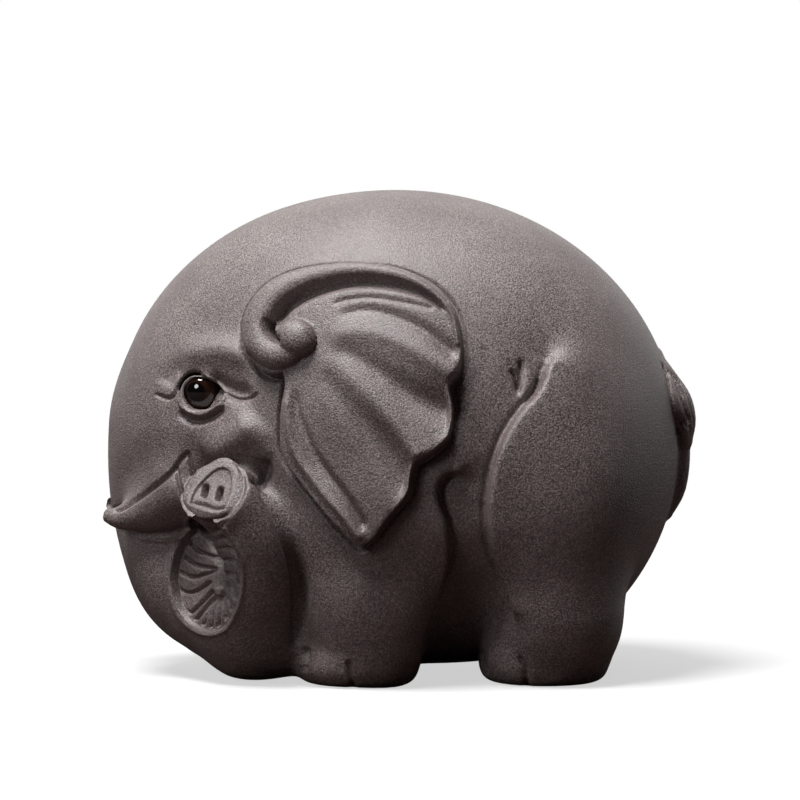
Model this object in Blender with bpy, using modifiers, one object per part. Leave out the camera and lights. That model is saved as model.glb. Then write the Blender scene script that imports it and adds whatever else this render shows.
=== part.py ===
"""A round clay elephant for the tea tray, pressed hollow in one piece, with two glass eyes set in its head.

Sizes are in millimetres. The head looks along -X, +Z is up and the soles stand on Z = 0.
The clay is blocked out from balls and tubes, joined by a voxel remesh, eased onto the smooth union
of the same balls and tubes, then modelled in relief along named curves, thinned and made hollow.
"""

import math

import bpy
import numpy as np

MM = 0.001

# Places along the elephant are measured from the front plane, which the tusks reach.
# The rounded body's fullness is 2 where it is an ellipse, and more where it is squarer.
FRONT = -52.0
BODY_FRONT = FRONT + 0.7
BODY_LENGTH = 100.8
BODY_WIDTH = 72.0
BODY_DEPTH = 90.4
BACK_HEIGHT = 85.7
SIDE_FULLNESS = 2.03
HEAD_FULLNESS = 2.12
FLANK_FULLNESS = 2.4
BELLY_HEIGHT = 1.4
BELLY_ROUNDING = 9.0
SOLE_ROUNDING = 1.6

# Clay wall and the vent that lets the hollow breathe in the kiln.
WALL = 6.5
FLOOR_THICKNESS = 6.0
VENT_DIAMETER = 8.0
VENT_X = 6.0

# Glass eyes.
EYE_DIAMETER = 8.0
EYE_GAP = 0.3
EYE_BACK = 17.3
EYE_HEIGHT = 51.7
EYE_PROUD = 0.15

# The body narrows by these shares at the face, the belly and the jaw. The face ends this far behind the front.
FACE_TAPER = 0.16
BELLY_TAPER = 0.34
JAW_TAPER = 0.42
FACE_END = 44.0

TAIL_PLEATS = 7

# How finely the clay is worked, and how many triangles it keeps.
VOXEL = 0.95
CLAY_TRIANGLES = 9300
SETTLE_STEPS = 8
RELAX_STEPS = 4
LONGEST_STEP = 2.0
TUBE_SPACING = 1.0
EYE_SEARCH = 600
BALL_SEGMENTS = 96

EYE_SEGMENTS = 28
HOLLOW_SEGMENTS = 28
VENT_SEGMENTS = 32

# The side view in which the relief is drawn: how far off its eye is, how high it looks, and how steeply down.
VIEW_DISTANCE = 2000.0
VIEW_CENTRE = 48.4
VIEW_RISE = math.radians(5)

CLAY_COLOUR = (0.048, 0.034, 0.031)
GLASS_COLOUR = (0.006, 0.004, 0.004)
SIDES = [("left", 1), ("right", -1)]

BODY_CENTRE_X = BODY_FRONT + BODY_LENGTH / 2
REAR = BODY_FRONT + BODY_LENGTH
BODY_CENTRE_Z = BACK_HEIGHT - BODY_DEPTH / 2
HALF_WIDTH = BODY_WIDTH / 2
# Middle and half sizes of the hollow. It stops short of the face, whose trunk and eyes need the clay.
HOLLOW_FRONT = FRONT + 22
HOLLOW = ((HOLLOW_FRONT + REAR - WALL) / 2, 0, BODY_CENTRE_Z + FLOOR_THICKNESS / 4), (
    (REAR - WALL - HOLLOW_FRONT) / 2, HALF_WIDTH - WALL, BODY_DEPTH / 2 - WALL - FLOOR_THICKNESS / 4)


def soft_min(a, b, blend):
    """The lower of two fields, rounded where they come within the blend of each other."""
    share = np.clip(0.5 + 0.5 * (b - a) / blend, 0, 1)
    return b + (a - b) * share - blend * share * (1 - share)


def soft_max(a, b, blend):
    return -soft_min(-a, -b, blend)


def ramp(values):
    """0 below 0, 1 above 1 and a smooth rise between."""
    share = np.clip(values, 0, 1)
    return share * share * (3 - 2 * share)


def curve_through(points, spacing=0.8, width=2):
    """Points about this far apart on a smooth curve through the given ones, by their first columns."""
    knots = np.asarray(points, float)
    ends = np.vstack([2 * knots[0] - knots[1], knots, 2 * knots[-1] - knots[-2]])
    samples = []
    for before, start, end, after in zip(ends, ends[1:], ends[2:], ends[3:]):
        count = max(2, int(np.linalg.norm((end - start)[:width]) / spacing) + 1)
        t = np.arange(count)[:, None] / count
        samples.append(
            0.5 * (2 * start + (end - before) * t + (2 * before - 5 * start + 4 * end - after) * t**2
                   + (3 * start - before - 3 * end + after) * t**3)
        )
    return np.vstack([*samples, knots[-1:]])


def nearest_on(path, points):
    """Distance from each point to a chain of straight runs, and the place along it, counted in runs."""
    best = np.full(len(points), np.inf)
    place = np.zeros(len(points))
    for i, (start, end) in enumerate(zip(path, path[1:])):
        run = end - start
        share = np.clip((points - start) @ run / max(run @ run, 1e-12), 0, 1)
        gap = np.linalg.norm(points - start - share[:, None] * run, axis=1)
        nearer = gap < best
        best[nearer] = gap[nearer]
        place[nearer] = i + share[nearer]
    return best, place


class Body:
    """The rounded body: nearly an ellipse from the side, fuller over the head and across, flat at the belly.
    It narrows towards the face and towards the belly, and most of all beside the trunk."""

    def taper(self, points):
        x, z = points[:, 0] - FRONT, points[:, 2]
        face = 1 - FACE_TAPER * ramp((FACE_END - x) / 30)
        belly = 1 - BELLY_TAPER * ramp((31 - z) / 31)
        jaw = 1 - JAW_TAPER * ramp((FACE_END - 4 - x) / 26) * ramp((46 - z) / 26)
        return face * belly * jaw

    def distance(self, points):
        x = (points[:, 0] - BODY_CENTRE_X) / (BODY_LENGTH / 2)
        y = np.abs(points[:, 1]) / (HALF_WIDTH * self.taper(points))
        z = (points[:, 2] - BODY_CENTRE_Z) / (BODY_DEPTH / 2)
        fullness = SIDE_FULLNESS + (HEAD_FULLNESS - SIDE_FULLNESS) * ramp(-2 * x) * ramp(2 * z)
        side = (np.abs(x) ** fullness + np.abs(z) ** fullness) ** (1 / fullness)
        size = (side**FLANK_FULLNESS + y**FLANK_FULLNESS) ** (1 / FLANK_FULLNESS)
        reach = np.linalg.norm(points - [BODY_CENTRE_X, 0, BODY_CENTRE_Z], axis=1)
        shell = (size - 1) * reach / np.maximum(size, 1e-6)
        return soft_max(shell, BELLY_HEIGHT - points[:, 2], BELLY_ROUNDING)

    def block(self):
        ball = new_ball((BODY_CENTRE_X, 0, BODY_CENTRE_Z), (BODY_LENGTH / 2, HALF_WIDTH, BODY_DEPTH / 2))
        settle(ball.data, self.distance, SETTLE_STEPS)
        return [ball]


class Lump:
    """Clay added to the body, on the left side only or on both. Its joint with what is there is rounded by the
    blend, and behind the soft edge, where one is given, by the soft blend."""

    def __init__(self, blend, both_sides, soft_edge=None, soft_blend=0.0):
        self.blend, self.both_sides, self.soft_edge, self.soft_blend = blend, both_sides, soft_edge, soft_blend

    def to_left(self, points):
        """The points, mirrored onto the left where the lump is on both sides."""
        x, y, z = points.T
        return np.stack([x, -np.abs(y), z], axis=1) if self.both_sides else points

    def blend_at(self, points):
        if self.soft_edge is None:
            return self.blend
        start, end = self.soft_edge
        share = ramp(((points[:, [0, 2]] - start) @ (end - start)) / ((end - start) @ (end - start)))
        return self.blend + (self.soft_blend - self.blend) * share

    def add_to(self, field, points):
        points = self.to_left(points)
        margin = 4 + max(self.blend, self.soft_blend)
        low, high = self.bounds()
        near = np.flatnonzero(((points > low - margin) & (points < high + margin)).all(axis=1))
        if len(near):
            chosen = points[near]
            field[near] = soft_min(field[near], self.distance(chosen), self.blend_at(chosen))


class Ball(Lump):
    """An ellipsoid."""

    def __init__(self, centre, radii, blend, both_sides=True, **softness):
        super().__init__(blend, both_sides, **softness)
        self.centre, self.radii = np.array(centre, float), np.array(radii, float)

    def bounds(self):
        return self.centre - self.radii, self.centre + self.radii

    def distance(self, points):
        offset = (points - self.centre) / self.radii
        size = np.linalg.norm(offset, axis=1)
        slope = np.linalg.norm(offset / self.radii, axis=1)
        return size * (size - 1) / np.maximum(slope, 1e-9)

    def block(self):
        sides = (1, -1) if self.both_sides else (1,)
        return [new_ball(self.centre * [1, side, 1], self.radii) for side in sides]


class Tube(Lump):
    """A swelling and tapering tube along a smooth spine of (x, y, z, radius).
    Its end may be cut by a plane, given as a point and the way it faces."""

    def __init__(self, spine, blend, both_sides=False, cut=None, **softness):
        super().__init__(blend, both_sides, **softness)
        self.spine, self.cut = curve_through(spine, TUBE_SPACING, 3), cut

    def bounds(self):
        centres, radii = self.spine[:, :3], self.spine[:, 3:]
        return (centres - radii).min(axis=0), (centres + radii).max(axis=0)

    def distance(self, points):
        """The envelope of balls along the spine, smoothed by a parabola through the nearest three."""
        gaps = np.stack([np.linalg.norm(points - ball[:3], axis=1) - ball[3] for ball in self.spine])
        nearest = np.clip(gaps.argmin(axis=0), 1, len(gaps) - 2)
        column = np.arange(len(points))
        before, here, after = gaps[nearest - 1, column], gaps[nearest, column], gaps[nearest + 1, column]
        bend = np.maximum(before - 2 * here + after, 1e-6)
        shift = np.clip((before - after) / (2 * bend), -1, 1)
        best = here + 0.5 * (after - before) * shift + 0.5 * bend * shift**2
        if self.cut is not None:
            place, facing = self.cut
            best = soft_max(best, (points - place) @ facing, 0.8)
        return best

    def block(self):
        sides = (1, -1) if self.both_sides else (1,)
        return [new_tube(self.spine * [1, side, 1, 1]) for side in sides]


def body_rear(z):
    """X of the body's rear on the middle plane at that height."""
    rise = abs(z - BODY_CENTRE_Z) / (BODY_DEPTH / 2)
    return BODY_CENTRE_X + BODY_LENGTH / 2 * (1 - rise**SIDE_FULLNESS) ** (1 / SIDE_FULLNESS)


def trunk_tip():
    """Middle of the nostril plate and the way that it faces: forwards, outwards and up."""
    facing = np.array([-0.42, -0.72, 0.55])
    return np.array([FRONT + 17.7, -32.0, 35.4]), facing / np.linalg.norm(facing)


def masses():
    """Every lump of clay that is added to the body, in the order in which they are pressed on."""
    tip, facing = trunk_tip()
    # Thigh, shank and foot behind, then foreleg, foot and chest in front.
    thigh = Ball((REAR - 22.8, -17.5, 34.0), (15.5, 17.5, 24.5), 7.0)
    shank = Tube([(REAR - 23.2, -20.0, 26, 12.0), (REAR - 21.7, -20.3, 13, 11.7),
                  (REAR - 23.0, -18.8, 8, 11.0)], 4.0, both_sides=True)
    hind_foot = Ball((REAR - 24.3, -17.4, 3.8), (11.4, 10.9, 7.4), 2.0)
    foreleg = Tube([(FRONT + 46.5, -21.5, 32, 13.4), (FRONT + 46.5, -23.0, 20, 12.6),
                    (FRONT + 46.0, -21.8, 9, 10.7)], 5.0, both_sides=True)
    front_foot = Ball((FRONT + 44.2, -20.4, 3.6), (10.9, 10.7, 6.2), 1.6)
    chest = Ball((FRONT + 35.0, -11.0, 13.0), (12.0, 13.5, 12.5), 3.0)
    # Trunk: down the middle of the face, round under it and up on the left cheek, with its hollow filled in.
    trunk = Tube([(FRONT + 18.2, 0, 44, 16.8), (FRONT + 15.7, -1, 30, 14.5), (FRONT + 16.8, -5, 19.3, 12.9),
                  (FRONT + 20.4, -10.5, 14.0, 10.8), (FRONT + 26.4, -17.5, 11.1, 10.6)], 4.0)
    # The filling is what the hollow of the curl is carved in.
    filling = [Tube([(FRONT + 18.5, -13.5, 12.0, 6.0), (FRONT + 18.5, -13.5, 19.5, 7.4),
                     (FRONT + 18.5, -14.0, 28.0, 6.2)], 2.5),
               Tube([(FRONT + 23.5, -19.5, 13.5, 6.0), (FRONT + 23.5, -20.0, 19.5, 6.8),
                     (FRONT + 22.8, -21.0, 27.0, 5.8)], 2.5)]
    curl = Tube([(FRONT + 26.4, -17.5, 11.1, 10.6), (FRONT + 27.2, -24.0, 18, 8.6),
                 (FRONT + 26.8, -28.0, 26, 7.7), (FRONT + 23.6, -30.2, 32, 6.7),
                 tuple(tip + facing * 2) + (5.5,)], 2.4, cut=(tip, facing))
    tusk = Tube([(FRONT + 14.4, -17.2, 34.1, 6.3), (FRONT + 11.4, -15.8, 32.0, 5.1),
                 (FRONT + 7.8, -14.0, 30.2, 3.8), (FRONT + 4.3, -12.6, 28.9, 2.6),
                 (FRONT + 2.1, -11.6, 28.5, 1.9), (FRONT - 0.1, -10.4, 28.8, 1.1)], 0.8, both_sides=True,
                soft_edge=(np.array([FRONT + 8, 29]), np.array([FRONT + 5, 36])), soft_blend=5.0)
    # Tail: a root of long pleats that narrows to a strand down the middle.
    pleats = []
    for pleat in np.linspace(-1, 1, TAIL_PLEATS):
        spread = [(56.5, 1.6, -1.3), (53, 5.2, 0.1), (49, 7.0, 1.8), (45, 5.4, 2.1), (41.3, 2.0, 1.3)]
        pleats.append(Tube([(body_rear(z) + lift * (1 - 0.35 * pleat**2) - 0.030 * (wide * pleat) ** 2,
                             wide * pleat - 1.0, z, 1.2) for z, wide, lift in spread], 0.3))
    strand = Tube([(body_rear(z) + out, -0.8, z, r) for z, out, r in
                   ((45, -1.5, 3.2), (39, -0.7, 2.8), (33, -0.3, 2.3), (28.5, -0.6, 1.4))], 0.9)
    return [thigh, shank, hind_foot, foreleg, front_foot, chest, trunk, *filling, curl, tusk, *pleats, strand]


def clay_field(points):
    """Below zero in the clay and above zero outside it. The soles are flat, with a rounded edge."""
    field = Body().distance(points)
    for lump in masses():
        lump.add_to(field, points)
    return soft_max(field, -points[:, 2], SOLE_ROUNDING)


def new_object(name, mesh, collection):
    obj = bpy.data.objects.new(name, mesh)
    collection.objects.link(obj)
    return obj


def new_ball(centre, radii, segments=BALL_SEGMENTS):
    bpy.ops.mesh.primitive_uv_sphere_add(segments=segments, ring_count=segments // 2, radius=1)
    ball = bpy.context.object
    ball.scale = [r * MM for r in radii]
    ball.location = [c * MM for c in centre]
    bpy.ops.object.transform_apply(location=True, rotation=False, scale=True)
    return ball


def new_tube(spine):
    """A closed tube that swells and tapers along the spine, as a mesh."""
    curve = bpy.data.curves.new("spine", "CURVE")
    curve.dimensions = "3D"
    curve.bevel_depth = MM
    curve.bevel_resolution = 6
    curve.use_fill_caps = True
    run = curve.splines.new("POLY")
    run.points.add(len(spine) - 1)
    for point, (x, y, z, radius) in zip(run.points, spine):
        point.co = (x * MM, y * MM, z * MM, 1)
        point.radius = radius
    guide = new_object("spine", curve, bpy.context.scene.collection)
    bpy.context.view_layer.update()
    graph = bpy.context.evaluated_depsgraph_get()
    mesh = bpy.data.meshes.new_from_object(guide.evaluated_get(graph))
    tube = new_object("tube", mesh, bpy.context.scene.collection)
    bpy.data.objects.remove(guide)
    return tube


def apply_modifier(obj, name, kind, **settings):
    """Adds a modifier of that kind with these settings and applies it."""
    modifier = obj.modifiers.new(name, kind)
    for setting, value in settings.items():
        setattr(modifier, setting, value)
    bpy.context.view_layer.objects.active = obj
    bpy.ops.object.modifier_apply(modifier=modifier.name)


def press_together(pieces, name, voxel):
    """Joins the pieces and remeshes them into one skin."""
    bpy.ops.object.select_all(action="DESELECT")
    for piece in pieces:
        piece.select_set(True)
    bpy.context.view_layer.objects.active = pieces[0]
    bpy.ops.object.join()
    lump = bpy.context.object
    lump.name = name
    reskin(lump, voxel)
    return lump


def reskin(obj, voxel):
    """Remeshes the skin evenly, which also opens out any folds in it."""
    apply_modifier(obj, "reskin", "REMESH", mode="VOXEL", voxel_size=voxel * MM, adaptivity=0)


def read_points(mesh):
    points = np.empty(len(mesh.vertices) * 3)
    mesh.vertices.foreach_get("co", points)
    return points.reshape(-1, 3) / MM


def write_points(mesh, points):
    mesh.vertices.foreach_set("co", (points * MM).ravel())
    mesh.update()


def read_normals(mesh):
    normals = np.empty(len(mesh.vertices) * 3, np.float32)
    mesh.vertex_normals.foreach_get("vector", normals)
    return normals.reshape(-1, 3).astype(float)


def settle(mesh, field_of, steps):
    """Moves each point onto the surface where the field is zero, along the field's slope."""
    points = read_points(mesh)
    nudge = 0.05
    for _ in range(steps):
        field = field_of(points)
        slope = np.stack([field_of(points + way * nudge) - field for way in np.eye(3)], axis=1) / nudge
        step = -field[:, None] * slope / np.maximum((slope**2).sum(axis=1), 0.25)[:, None]
        length = np.linalg.norm(step, axis=1)
        points += step * np.minimum(1, LONGEST_STEP / np.maximum(length, 1e-9))[:, None]
    write_points(mesh, points)


def relax(obj):
    """Evens out the skin where lumps meet in a tight joint."""
    apply_modifier(obj, "relax", "SMOOTH", factor=0.5, iterations=RELAX_STEPS)


def subdivide(obj):
    apply_modifier(obj, "subdivide", "SUBSURF", levels=1, render_levels=1)


class Relief:
    """Heights, in mm, that the clay is modelled up or down by. They are drawn in a side view from two metres off
    and a little above, in mm behind the front and mm above the floor. The right side takes the same drawing,
    mirrored. Side is -1 for the left flank only, 0 for both."""

    def __init__(self, points, normals):
        self.points, self.normals = points, normals
        self.side = np.sign(points[:, 1])
        self.height = np.zeros(len(points))
        self.look(0.0)

    def look(self, lift):
        """Takes the side view of the clay as it will be once raised by the lift."""
        x, y, z = (self.points + self.normals * lift).T
        y, z = -np.abs(y), z - VIEW_CENTRE
        slant, level = math.sin(VIEW_RISE), math.cos(VIEW_RISE)
        nearer = VIEW_DISTANCE / (VIEW_DISTANCE + y * level - z * slant)
        risen = (z * level + y * slant) * nearer + VIEW_CENTRE * level
        self.flat = np.stack([x * nearer - FRONT, risen], axis=1)

    def near(self, path, reach, side=0):
        low, high = path[:, :2].min(axis=0) - reach, path[:, :2].max(axis=0) + reach
        inside = ((self.flat > low) & (self.flat < high)).all(axis=1)
        if side:
            inside &= self.side == side
        return np.flatnonzero(inside)

    def stroke(self, points, width, height, side=0, taper=0.0):
        """A rounded ridge, or a groove where the height is below zero, of that half width."""
        path = curve_through(points)
        chosen = self.near(path, width * 3, side)
        gap, place = nearest_on(path, self.flat[chosen])
        strength = np.exp(-((gap / width) ** 2))
        if taper:
            strength *= ramp(np.minimum(place, len(path) - 1 - place) / (len(path) - 1) / taper)
        self.height[chosen] += height * strength

    def crease(self, points, width, depth, swell, fall, dip, taper=0.12):
        """A groove along the path. The clay on the right of the path, as it is drawn, swells up at once from
        the groove and eases back over the fall. On the left it dips slowly into the groove."""
        path = curve_through(points)
        chosen = self.near(path, fall * 2.5)
        flat = self.flat[chosen]
        gap, place = nearest_on(path, flat)
        index = np.minimum(place.astype(int), len(path) - 2)
        run = path[index + 1] - path[index]
        run /= np.linalg.norm(run, axis=1)[:, None]
        off = flat - path[index]
        aside = run[:, 1] * off[:, 0] - run[:, 0] * off[:, 1]
        right = 0.5 + 0.5 * np.clip(aside / np.maximum(gap, 1e-6), -1, 1)
        end = ramp(np.minimum(place, len(path) - 1 - place) / (len(path) - 1) / taper)
        self.height[chosen] -= depth * np.exp(-((gap / width) ** 2)) * end
        self.height[chosen] += ramp(gap / width) * (right * swell * np.exp(-((gap / fall) ** 2))
                                                    - (1 - right) * dip * np.exp(-((gap / (fall / 2)) ** 2)))

    def inside(self, outline, reach=2.5, side=0):
        """Indices near a closed outline, and how far each lies inside it: below zero outside."""
        chosen = self.near(outline, reach, side)
        flat = self.flat[chosen]
        gap, _ = nearest_on(outline, flat)
        turns = np.zeros(len(chosen))
        for start, end in zip(outline, outline[1:]):
            crosses = (start[1] > flat[:, 1]) != (end[1] > flat[:, 1])
            if not crosses.any():
                continue
            at = start[0] + (flat[:, 1] - start[1]) * (end[0] - start[0]) / (end[1] - start[1])
            turns += crosses & (flat[:, 0] < at)
        return chosen, np.where(turns % 2 == 1, gap, -gap)


EAR_OUTLINE = [(31.0, 53.4), (28.9, 53.0), (26.5, 54.1), (24.8, 56.8), (24.1, 59.8), (24.2, 62.8),
               (25.3, 65.5), (27.3, 68.0), (30.1, 70.0), (33.7, 71.4), (37.8, 72.1), (42.2, 72.4),
               (46.7, 72.1), (50.6, 71.4), (54.1, 70.1), (57.3, 68.5), (59.7, 66.4), (61.3, 63.7),
               (62.1, 60.3), (62.4, 57.1), (62.3, 54.6), (61.8, 53.0), (60.7, 51.8), (60.2, 50.7),
               (60.4, 48.9), (60.8, 46.5), (60.6, 43.8), (60.0, 41.8), (58.6, 40.4), (56.5, 38.8),
               (54.3, 37.4), (53.6, 35.8), (53.2, 34.0), (52.9, 32.2), (51.8, 30.3), (50.0, 28.1),
               (48.4, 25.8), (47.2, 23.9), (45.9, 22.8), (44.9, 22.1), (43.3, 23.3), (39.5, 27.1),
               (36.9, 30.1), (34.2, 33.5), (31.7, 36.8), (30.8, 39.3), (30.5, 42.0), (30.6, 45.6),
               (31.0, 48.6), (31.4, 51.1), (31.0, 53.4)]
# Middle line and half width of the rolled rim, from its thin end at the back to the scroll.
EAR_RIM = [(62.0, 58.0, 0.32), (61.1, 62.5, 0.39), (59.1, 65.5, 0.5), (56.5, 67.6, 0.64),
           (52.9, 69.4, 0.82), (48.4, 70.6, 1), (43.5, 71.1, 1.17), (38.6, 70.7, 1.42),
           (34.2, 69.6, 1.74), (30.3, 67.5, 2.1), (27.6, 64.4, 2.35), (26.5, 61.1, 2.46),
           (27.4, 57.8, 2.6), (29.9, 56.2, 2.63), (32.4, 57.0, 2.49), (33.7, 58.7, 2.31)]
SCROLL = (33.7, 59.1)
SCROLL_RADIUS = 3.4
SCROLL_GROOVE = [(28.9, 62.5), (28.9, 60.5), (29.8, 59.3), (30.6, 58.7), (31.9, 58.4)]
EAR_LIFT = 2.0
EAR_EDGE_LIFT = 3.5
# Folds of the ear as (path, half width at the start and end, height at the start and end).
EAR_FOLDS = [
    ([(29.4, 60.7), (29.8, 62.5), (31.0, 64.4), (33.0, 66.0), (36.0, 67.5), (40.4, 68.7), (44.9, 69.1),
      (50.2, 68.4), (55.6, 66.9), (59.3, 64.6)], (1.1, 0.7), (-2.4, -0.9)),
    ([(39.5, 65.0), (42.2, 65.9), (46.7, 66.2), (52.0, 65.3), (57.3, 64.1)], (0.5, 0.5), (-0.4, -0.3)),
    ([(40.4, 63.0), (44.9, 64.1), (48.4, 63.7), (52.0, 62.5), (56.5, 60.2), (60.9, 56.8)], (0.8, 1.2),
      (-0.4, -0.9)),
    ([(37.8, 59.3), (43.1, 60.3), (48.4, 59.5), (53.8, 57.1), (60.4, 53.2)], (1.6, 1.9), (0.3, 0.9)),
    ([(39.5, 57.8), (44.0, 55.9), (49.3, 52.5), (54.7, 48.8), (60.7, 46.1)], (1.2, 3.2), (-0.3, -2.1)),
    ([(36.9, 56.8), (41.3, 53.2), (46.7, 48.6), (51.1, 43.8), (54.5, 39.0)], (1.8, 1.7), (0.1, 1.0)),
    ([(37.4, 53.9), (41.3, 49.1), (44.9, 44.7), (49.3, 39.7), (52.7, 34.0)], (1.6, 2.8), (-0.2, -1.4)),
    ([(31.9, 50.4), (31.9, 46.1), (32.4, 41.8), (33.7, 38.1), (36.2, 34.5), (39.0, 31.0), (42.4, 27.1),
      (44.5, 24.2)], (0.8, 0.9), (0.6, 0.8)),
    ([(33.0, 50.9), (33.5, 46.8), (34.7, 42.9), (37.4, 37.4), (42.2, 31.0), (45.2, 26.3)], (0.7, 0.9),
      (-0.5, -1.0)),
]


def model_ear(relief):
    relief.look(EAR_LIFT)
    chosen, inside = relief.inside(curve_through(EAR_OUTLINE), reach=4.0)
    flat = relief.flat[chosen]
    body = EAR_LIFT + (EAR_EDGE_LIFT - EAR_LIFT) * ramp((flat[:, 0] - 34) / 24)
    folds = np.zeros(len(chosen))
    for points, widths, heights in EAR_FOLDS:
        path = curve_through(points)
        gap, place = nearest_on(path, flat)
        share = place / (len(path) - 1)
        width = widths[0] + (widths[1] - widths[0]) * share
        height = (heights[0] + (heights[1] - heights[0]) * share) * ramp(share / 0.12)
        folds += height * np.exp(-((gap / width) ** 2))
    wall = 0.5 + 0.6 * ramp((flat[:, 0] - 44) / 10)
    height = (body + folds * ramp((inside + 0.3) / 1.0)) * ramp((inside + wall) / wall)
    height -= 0.7 * np.exp(-(((inside + wall + 0.5) / 0.6) ** 2))
    rim = curve_through(EAR_RIM)
    gap, place = nearest_on(rim[:, :2], flat)
    radius = np.interp(place, np.arange(len(rim)), rim[:, 2])
    across = gap / radius
    roll = body * ramp((1.2 - across) / 0.35) + (0.2 + 0.85 * radius) * np.sqrt(np.clip(1 - across**2, 0, 1))
    height = np.where(across < 1.2, np.maximum(height, roll), height)
    across = np.linalg.norm(flat - SCROLL, axis=1) / SCROLL_RADIUS
    knob = body + 0.4 + 0.9 * SCROLL_RADIUS * np.sqrt(np.clip(1 - across**2, 0, 1))
    height = np.where(across < 1, np.maximum(height, knob), height)
    relief.height[chosen] += height
    relief.stroke(SCROLL_GROOVE, 0.45, -2.6, taper=0.1)
    relief.look(0.0)


EYE_OPENING = [(13.6, 48.6), (13.6, 50.0), (14.1, 51.3), (14.8, 52.0), (15.9, 52.3), (17.1, 52.1),
               (18.2, 51.4), (19.2, 50.4), (20.1, 49.1), (20.1, 48.4), (19.2, 47.4), (17.8, 46.7),
               (16.4, 46.5), (15.0, 46.6), (14.1, 47.3), (13.6, 48.6)]
UPPER_LID = [(7.9, 49.3), (9.3, 48.9), (10.7, 48.5), (11.6, 49.1), (12.2, 50.2), (12.8, 51.4),
             (13.9, 52.5), (15.2, 53.0), (16.4, 52.7), (17.6, 52.0), (18.9, 50.8), (20.1, 49.6),
             (21.4, 48.8), (22.8, 48.3), (24.4, 48.4), (25.8, 48.9), (26.9, 49.7)]


def model_eye(relief):
    # The brow, the hollows under it, and the lids.
    relief.stroke([(12.1, 54.6), (16.0, 56.6), (20.3, 57.1), (23.9, 55.9),
                   (27.1, 53.9)], 2.5, 1.4, taper=0.3)
    relief.stroke([(17.5, 52.3), (20.3, 50.7), (23.2, 49.5), (26.0, 50.0)], 1.5, -1.3, taper=0.2)
    relief.stroke([(9.8, 50.4), (11.2, 52.9), (13.6, 54.5)], 1.6, -0.6, taper=0.3)
    relief.stroke(UPPER_LID, 0.34, -0.75, taper=0.06)
    relief.stroke([(11.8, 49.5), (12.4, 50.7), (13.6, 52.1), (15.2, 52.9),
                   (16.8, 52.7)], 0.42, -0.7, taper=0.2)
    relief.stroke([(12.7, 48.9), (13.0, 47.3), (14.1, 46.2), (15.7, 45.6), (17.5, 45.7), (19.2, 46.5),
                   (20.9, 47.9)], 0.36, 0.6, taper=0.1)
    relief.stroke([(12.5, 46.5), (13.7, 45.1), (15.2, 44.4), (16.6, 44.5), (18.0, 44.9), (19.4, 45.8),
                   (20.9, 47.2)], 0.65, -1.0, taper=0.15)
    chosen, inside = relief.inside(curve_through(EYE_OPENING), reach=2.0)
    relief.height[chosen] -= 2.0 * ramp((inside + 0.1) / 0.3)
    relief.height[chosen] += 0.45 * np.exp(-(((inside + 0.4) / 0.3) ** 2))


def model_face(relief):
    # Cheek, the pocket behind the jaw, the line above each tusk, the two cuts of its gum, and the jaw fold.
    relief.stroke([(15.7, 39.0), (18.5, 41.5), (22.1, 44.0), (26.7, 47.2)], 3.0, 1.5, taper=0.3)
    relief.stroke([(29.2, 41.1), (28.1, 37.9), (27.4, 34.7), (29.2, 30.8), (30.8, 27.2), (32.1, 23.3),
                   (33.3, 19.4), (34.0, 15.3), (34.0, 10.9), (33.5, 6.4),
                   (32.4, 2.8)], 1.1, -2.2, taper=0.15)
    relief.stroke([(29.2, 41.1), (28.1, 37.9), (27.4, 34.7)], 1.8, -1.4, taper=0.3)
    relief.stroke([(0.6, 28.5), (2.2, 28.8), (3.9, 29.8), (5.7, 31.0), (7.5, 32.3), (9.3, 33.7),
                   (11.1, 35.2), (12.1, 36.5), (13.0, 37.7), (14.1, 38.8)], 0.4, -0.8, taper=0.06)
    relief.stroke([(12.1, 36.0), (12.5, 33.8), (13.2, 31.5)], 0.35, -0.6)
    relief.stroke([(14.1, 38.8), (14.7, 36.5), (15.5, 34.0)], 0.35, -0.7)
    relief.stroke([(5.0, 24.0), (7.5, 23.3), (10.3, 23.1), (13.2, 23.5),
                   (16.0, 24.6)], 0.35, 0.4, taper=0.2)


RECESS_DEPTH = 1.8
RECESS = [(14.1, 23.3), (13.2, 21.5), (12.5, 19.4), (12.2, 16.7), (12.5, 14.4), (13.0, 12.3),
          (14.1, 10.1), (15.5, 8.4), (16.9, 7.5), (18.2, 7.3), (20.0, 7.8), (21.4, 9.4), (22.5, 11.7),
          (23.2, 14.4), (23.3, 17.6), (23.2, 19.8), (22.3, 22.4), (21.0, 24.6), (19.4, 26.0),
          (17.3, 27.1), (15.5, 27.6), (14.4, 26.7), (14.1, 25.1), (14.1, 23.3)]
SLIT = [(15.3, 26.9), (16.9, 24.9), (18.4, 22.8), (19.2, 20.5), (19.7, 18.0), (19.7, 14.4)]
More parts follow.
